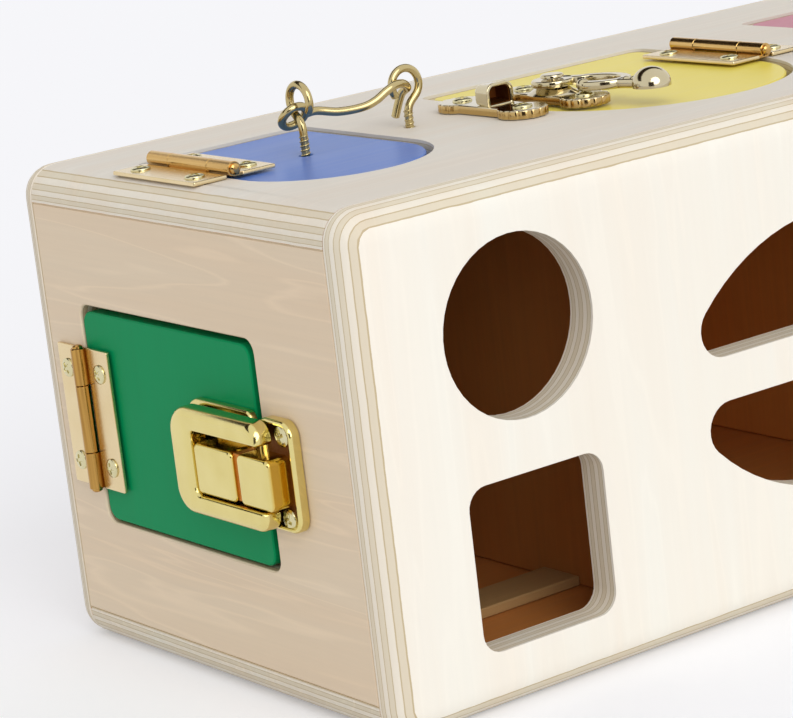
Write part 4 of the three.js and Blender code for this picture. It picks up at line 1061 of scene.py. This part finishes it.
keeper_x = plates["clasp_keeper"][0]
hood_outline = rounded_box(keeper_x - HOOD_HALF, keeper_x + HOOD_HALF, plate_top - 0.6, keeper_high.z,
                           1.2, 1.2, 2.6, 2.6)
mouth = (keeper_low.y + keeper_high.y) / 2 - HOOD_BEFORE
hood_end = from_level(mouth + HOOD_LENGTH, [
    (2.3, 0), (1.6, -0.05), (1.1, -0.3), (0.8, -0.8), (0.65, -1.4)])
hood = drawn_along(hood_outline, hood_end + from_level(mouth, [
    (0.3, 2.2), (0.02, 0.9), (-0.08, 0.4), (-0.05, 0.1), (0.15, 0), (0.6, 0), (0.85, 0.2), (0.95, 0.5),
    (1.6, 4.8), (1.8, 5.2)]))
add_drawn("clasp_keeper_hood", [hood], top, clasp_brass, "clasp_keeper", instead=False)
# The hood's lining is painted dark brown: painted shade inside the hood
lining = drawn_along(hood_outline, from_level(mouth, [
    (1.3, 5.3), (0.8, 0.8), (0.9, 0.6), (1.05, 0.65), (1.1, 0.9), (1.7, 4.7), (1.9, 5.0)]))
add_drawn("clasp_keeper_lining", [lining], top, shaded_casting_brass, "clasp_keeper", instead=False)

pivot = Matrix.Translation((plates["clasp_base"][0], (base_low.y + base_high.y) / 2, 0))
# The boss swells out of the plate along the waist
boss = moved(turned([
    *from_level(plate_top, [(8.4, -0.2), (7.8, 0.12), (6.9, 0.45), (5.9, 0.9)]),
    (5.2, base_high.z - 0.15), (4.9, base_high.z)]), pivot @ Matrix.Diagonal((BOSS_NARROW, 1, 1, 1)))
add_drawn("clasp_base_casting", [plates["clasp_base"][3], boss], top, clasp_plate_brass, "clasp_base")
rivet = moved(turned([(1.4, rivet_low.z), *from_level(rivet_high.z, [
    (1.4, -1), (2.8, -1), (3, -0.85), (3, -0.35), (2.9, -0.15), (2.6, -0.02), (2.3, 0)])]), pivot)
add_drawn("clasp_rivet_brass", [rivet], top, clasp_brass, "clasp_rivet")
for node, (x, front, back, _) in plates.items():
    for where, y, turn in (("front", front, 0.4), ("back", back, 0.9)):
        drive_screw(f"{node}_{where}_screw", x, y, plate_top - 0.1, top, node,
                    CLASP_SCREW, CLASP_SCREW_HEIGHT, turn)
print("clasp plates:", len(plates), "with", FLUTES, "flutes to a full turn")

# %% [markdown]
# The clasp's arm swings on the rivet: a bar that runs round an open throat to a round-tipped prong, with
# two beads and a hollow domed knob at the far end. It is drawn along its own x axis and then turned to
# where it rests.

# %% Clasp arm
ARM_DISC = 5.5
ARM_BAR = 2.8
ARM_THICK, ARM_ABOVE = 1.8, 4.0
THROAT_AT = Vector((12.6, 1.6))
THROAT_HALF = Vector((6.5, 4.3))
PRONG_TIP = 10.4
ARM_REACH = 29.7
ARM_REST = radians(-72)
KNOB, KNOB_RISE, KNOB_WALL = 5.0, 4.4, 0.7

arm_base = rivet_low.z + ARM_ABOVE
arm_face = arm_base + ARM_THICK
arm_middle = arm_base + ARM_THICK / 2
bar_base = arm_base - 0.5
half_bar = ARM_BAR / 2
bend = THROAT_HALF + Vector((half_bar, half_bar))
tip_share = (THROAT_AT.x - PRONG_TIP - half_bar) / bend.x
tip_turn = -pi + atan2(sqrt(1 - tip_share ** 2), tip_share)
turns = [pi + (tip_turn - pi) * i / 60 for i in range(61)]
bar_path = [THROAT_AT + Vector((bend.x * cos(a), bend.y * sin(a))) for a in turns]
# The bar leaves the disc straight and takes up the bend a little later
bar_path = [Vector((0, 3.2)), Vector((2.2, 3.6))] + [p for p in bar_path if p.x > 5.2 or p.y < 0][2:]


def bar_outline(path, half):
    """The outline of a flat bar along a path, round at its far end."""
    ways = [(path[min(i + 1, len(path) - 1)] - path[max(i - 1, 0)]).normalized() for i in range(len(path))]
    sides = [Vector((-w.y, w.x)) * half for w in ways]
    tip = atan2(-sides[-1].y, -sides[-1].x)
    cap_turns = [tip + pi * i / 12 for i in range(1, 12)]
    cap_points = [path[-1] + Vector((cos(a), sin(a))) * half for a in cap_turns]
    return ([p - s for p, s in zip(path, sides)] + cap_points
            + [p + s for p, s in zip(path[::-1], sides[::-1])])


def arm_edge(low):
    """The rounded edge of the arm, its underside at low."""
    return (from_level(low, [(0.35, 0), (0.1, 0.1), (0, 0.35)])
            + from_level(arm_face, [(0, -0.45), (0.12, -0.15), (0.4, 0), (0.7, 0)]))


def bead(radius, half, tip, place):
    """A turned bead, half its length to either side of the middle, its ends of the radius tip."""
    bulge = [(radius * cos(radians(a)), half * sin(radians(a))) for a in range(-70, 71, 14)]
    return moved(turned([(tip, -half), *bulge, (tip, half)]), place)


def knob_dome(radius, rise):
    """The profile of a dome from its foot to its crown."""
    turns = [radians(a) for a in range(0, 91, 9)]
    return [(radius * cos(a) + 0.02, arm_base + 0.4 + rise * sin(a)) for a in turns]


disc_outline = [Vector((cos(a), sin(a))) * ARM_DISC for a in (2 * pi * i / 60 for i in range(60))]
neck_start = THROAT_AT.x + bend.x - 0.6
neck_outline = filleted([(neck_start, -1.9, 0.5), (ARM_REACH, -1.5, 0.4), (ARM_REACH, 1.5, 0.4),
                         (neck_start, 1.9, 0.5)])
lying = Matrix.Rotation(pi / 2, 4, "Y")
beads = [bead(1.5, 1.3, 0.2, Matrix.Translation((ARM_REACH - KNOB - back, 0, arm_middle)) @ lying)
         for back in (0.2, 2.4)]
prong = bead(1.75, 1.6, 0.3, Matrix.Translation((*bar_path[-1], arm_middle)))
knob_foot = from_level(arm_base, [(KNOB - 0.6, -0.2), (KNOB, -0.2)])
knob = moved(turned(knob_dome(KNOB - KNOB_WALL, KNOB_RISE - KNOB_WALL)[::-1] + knob_foot
                    + knob_dome(KNOB, KNOB_RISE)), Matrix.Translation((ARM_REACH, 0, 0)))
add_drawn("clasp_arm_casting", [
    pressed(disc_outline, arm_edge(arm_base)), pressed(bar_outline(bar_path, half_bar), arm_edge(bar_base)),
    pressed(neck_outline, arm_edge(bar_base)), *beads, prong, knob],
    top @ pivot @ Matrix.Rotation(ARM_REST, 4, "Z"), clasp_brass, "clasp_arm", smooth=40)
print("clasp arm reaches", ARM_REACH, "mm from its rivet")

# %% [markdown]
# The barrel bolt of the right door is out of the photograph's view and is a plain stock one: a plate
# with two straps, a round bolt with a knob, and a strap on the case. Its solids have the right shapes,
# so they only get eased edges, finer shading and screws.

# %% Barrel bolt
BOLT_EASE = 0.2
BOLT_PLATE = 1.2
BOLT_SCREW, BOLT_SCREW_HEIGHT, BOLT_SCREW_IN = 1.5, 0.7, 1.9
for node in ("bolt_plate", "bolt_bar", "bolt_keeper"):
    # The bolt takes the knuckles' brass, with its painted reflection streaks along y
    add_piece(node + "_brass", eased_copy(node, BOLT_EASE), painted_reflection_brass, node, smooth=50)
bolt_plate_top = box_in("bolt_plate", top)[0].z + BOLT_PLATE
for node, shares in (("bolt_plate", (0.28, 0.72)), ("bolt_keeper", (0.5,))):
    low, high = box_in(node, top)
    for number, share in enumerate(shares):
        x = low.x + share * (high.x - low.x)
        for where, y in (("front", low.y + BOLT_SCREW_IN), ("back", high.y - BOLT_SCREW_IN)):
            drive_screw(f"{node}_{where}_screw_{number + 1}", x, y, bolt_plate_top, top, node,
                        BOLT_SCREW, BOLT_SCREW_HEIGHT, 0.3 + share)
print("screws in all:", len(screws))
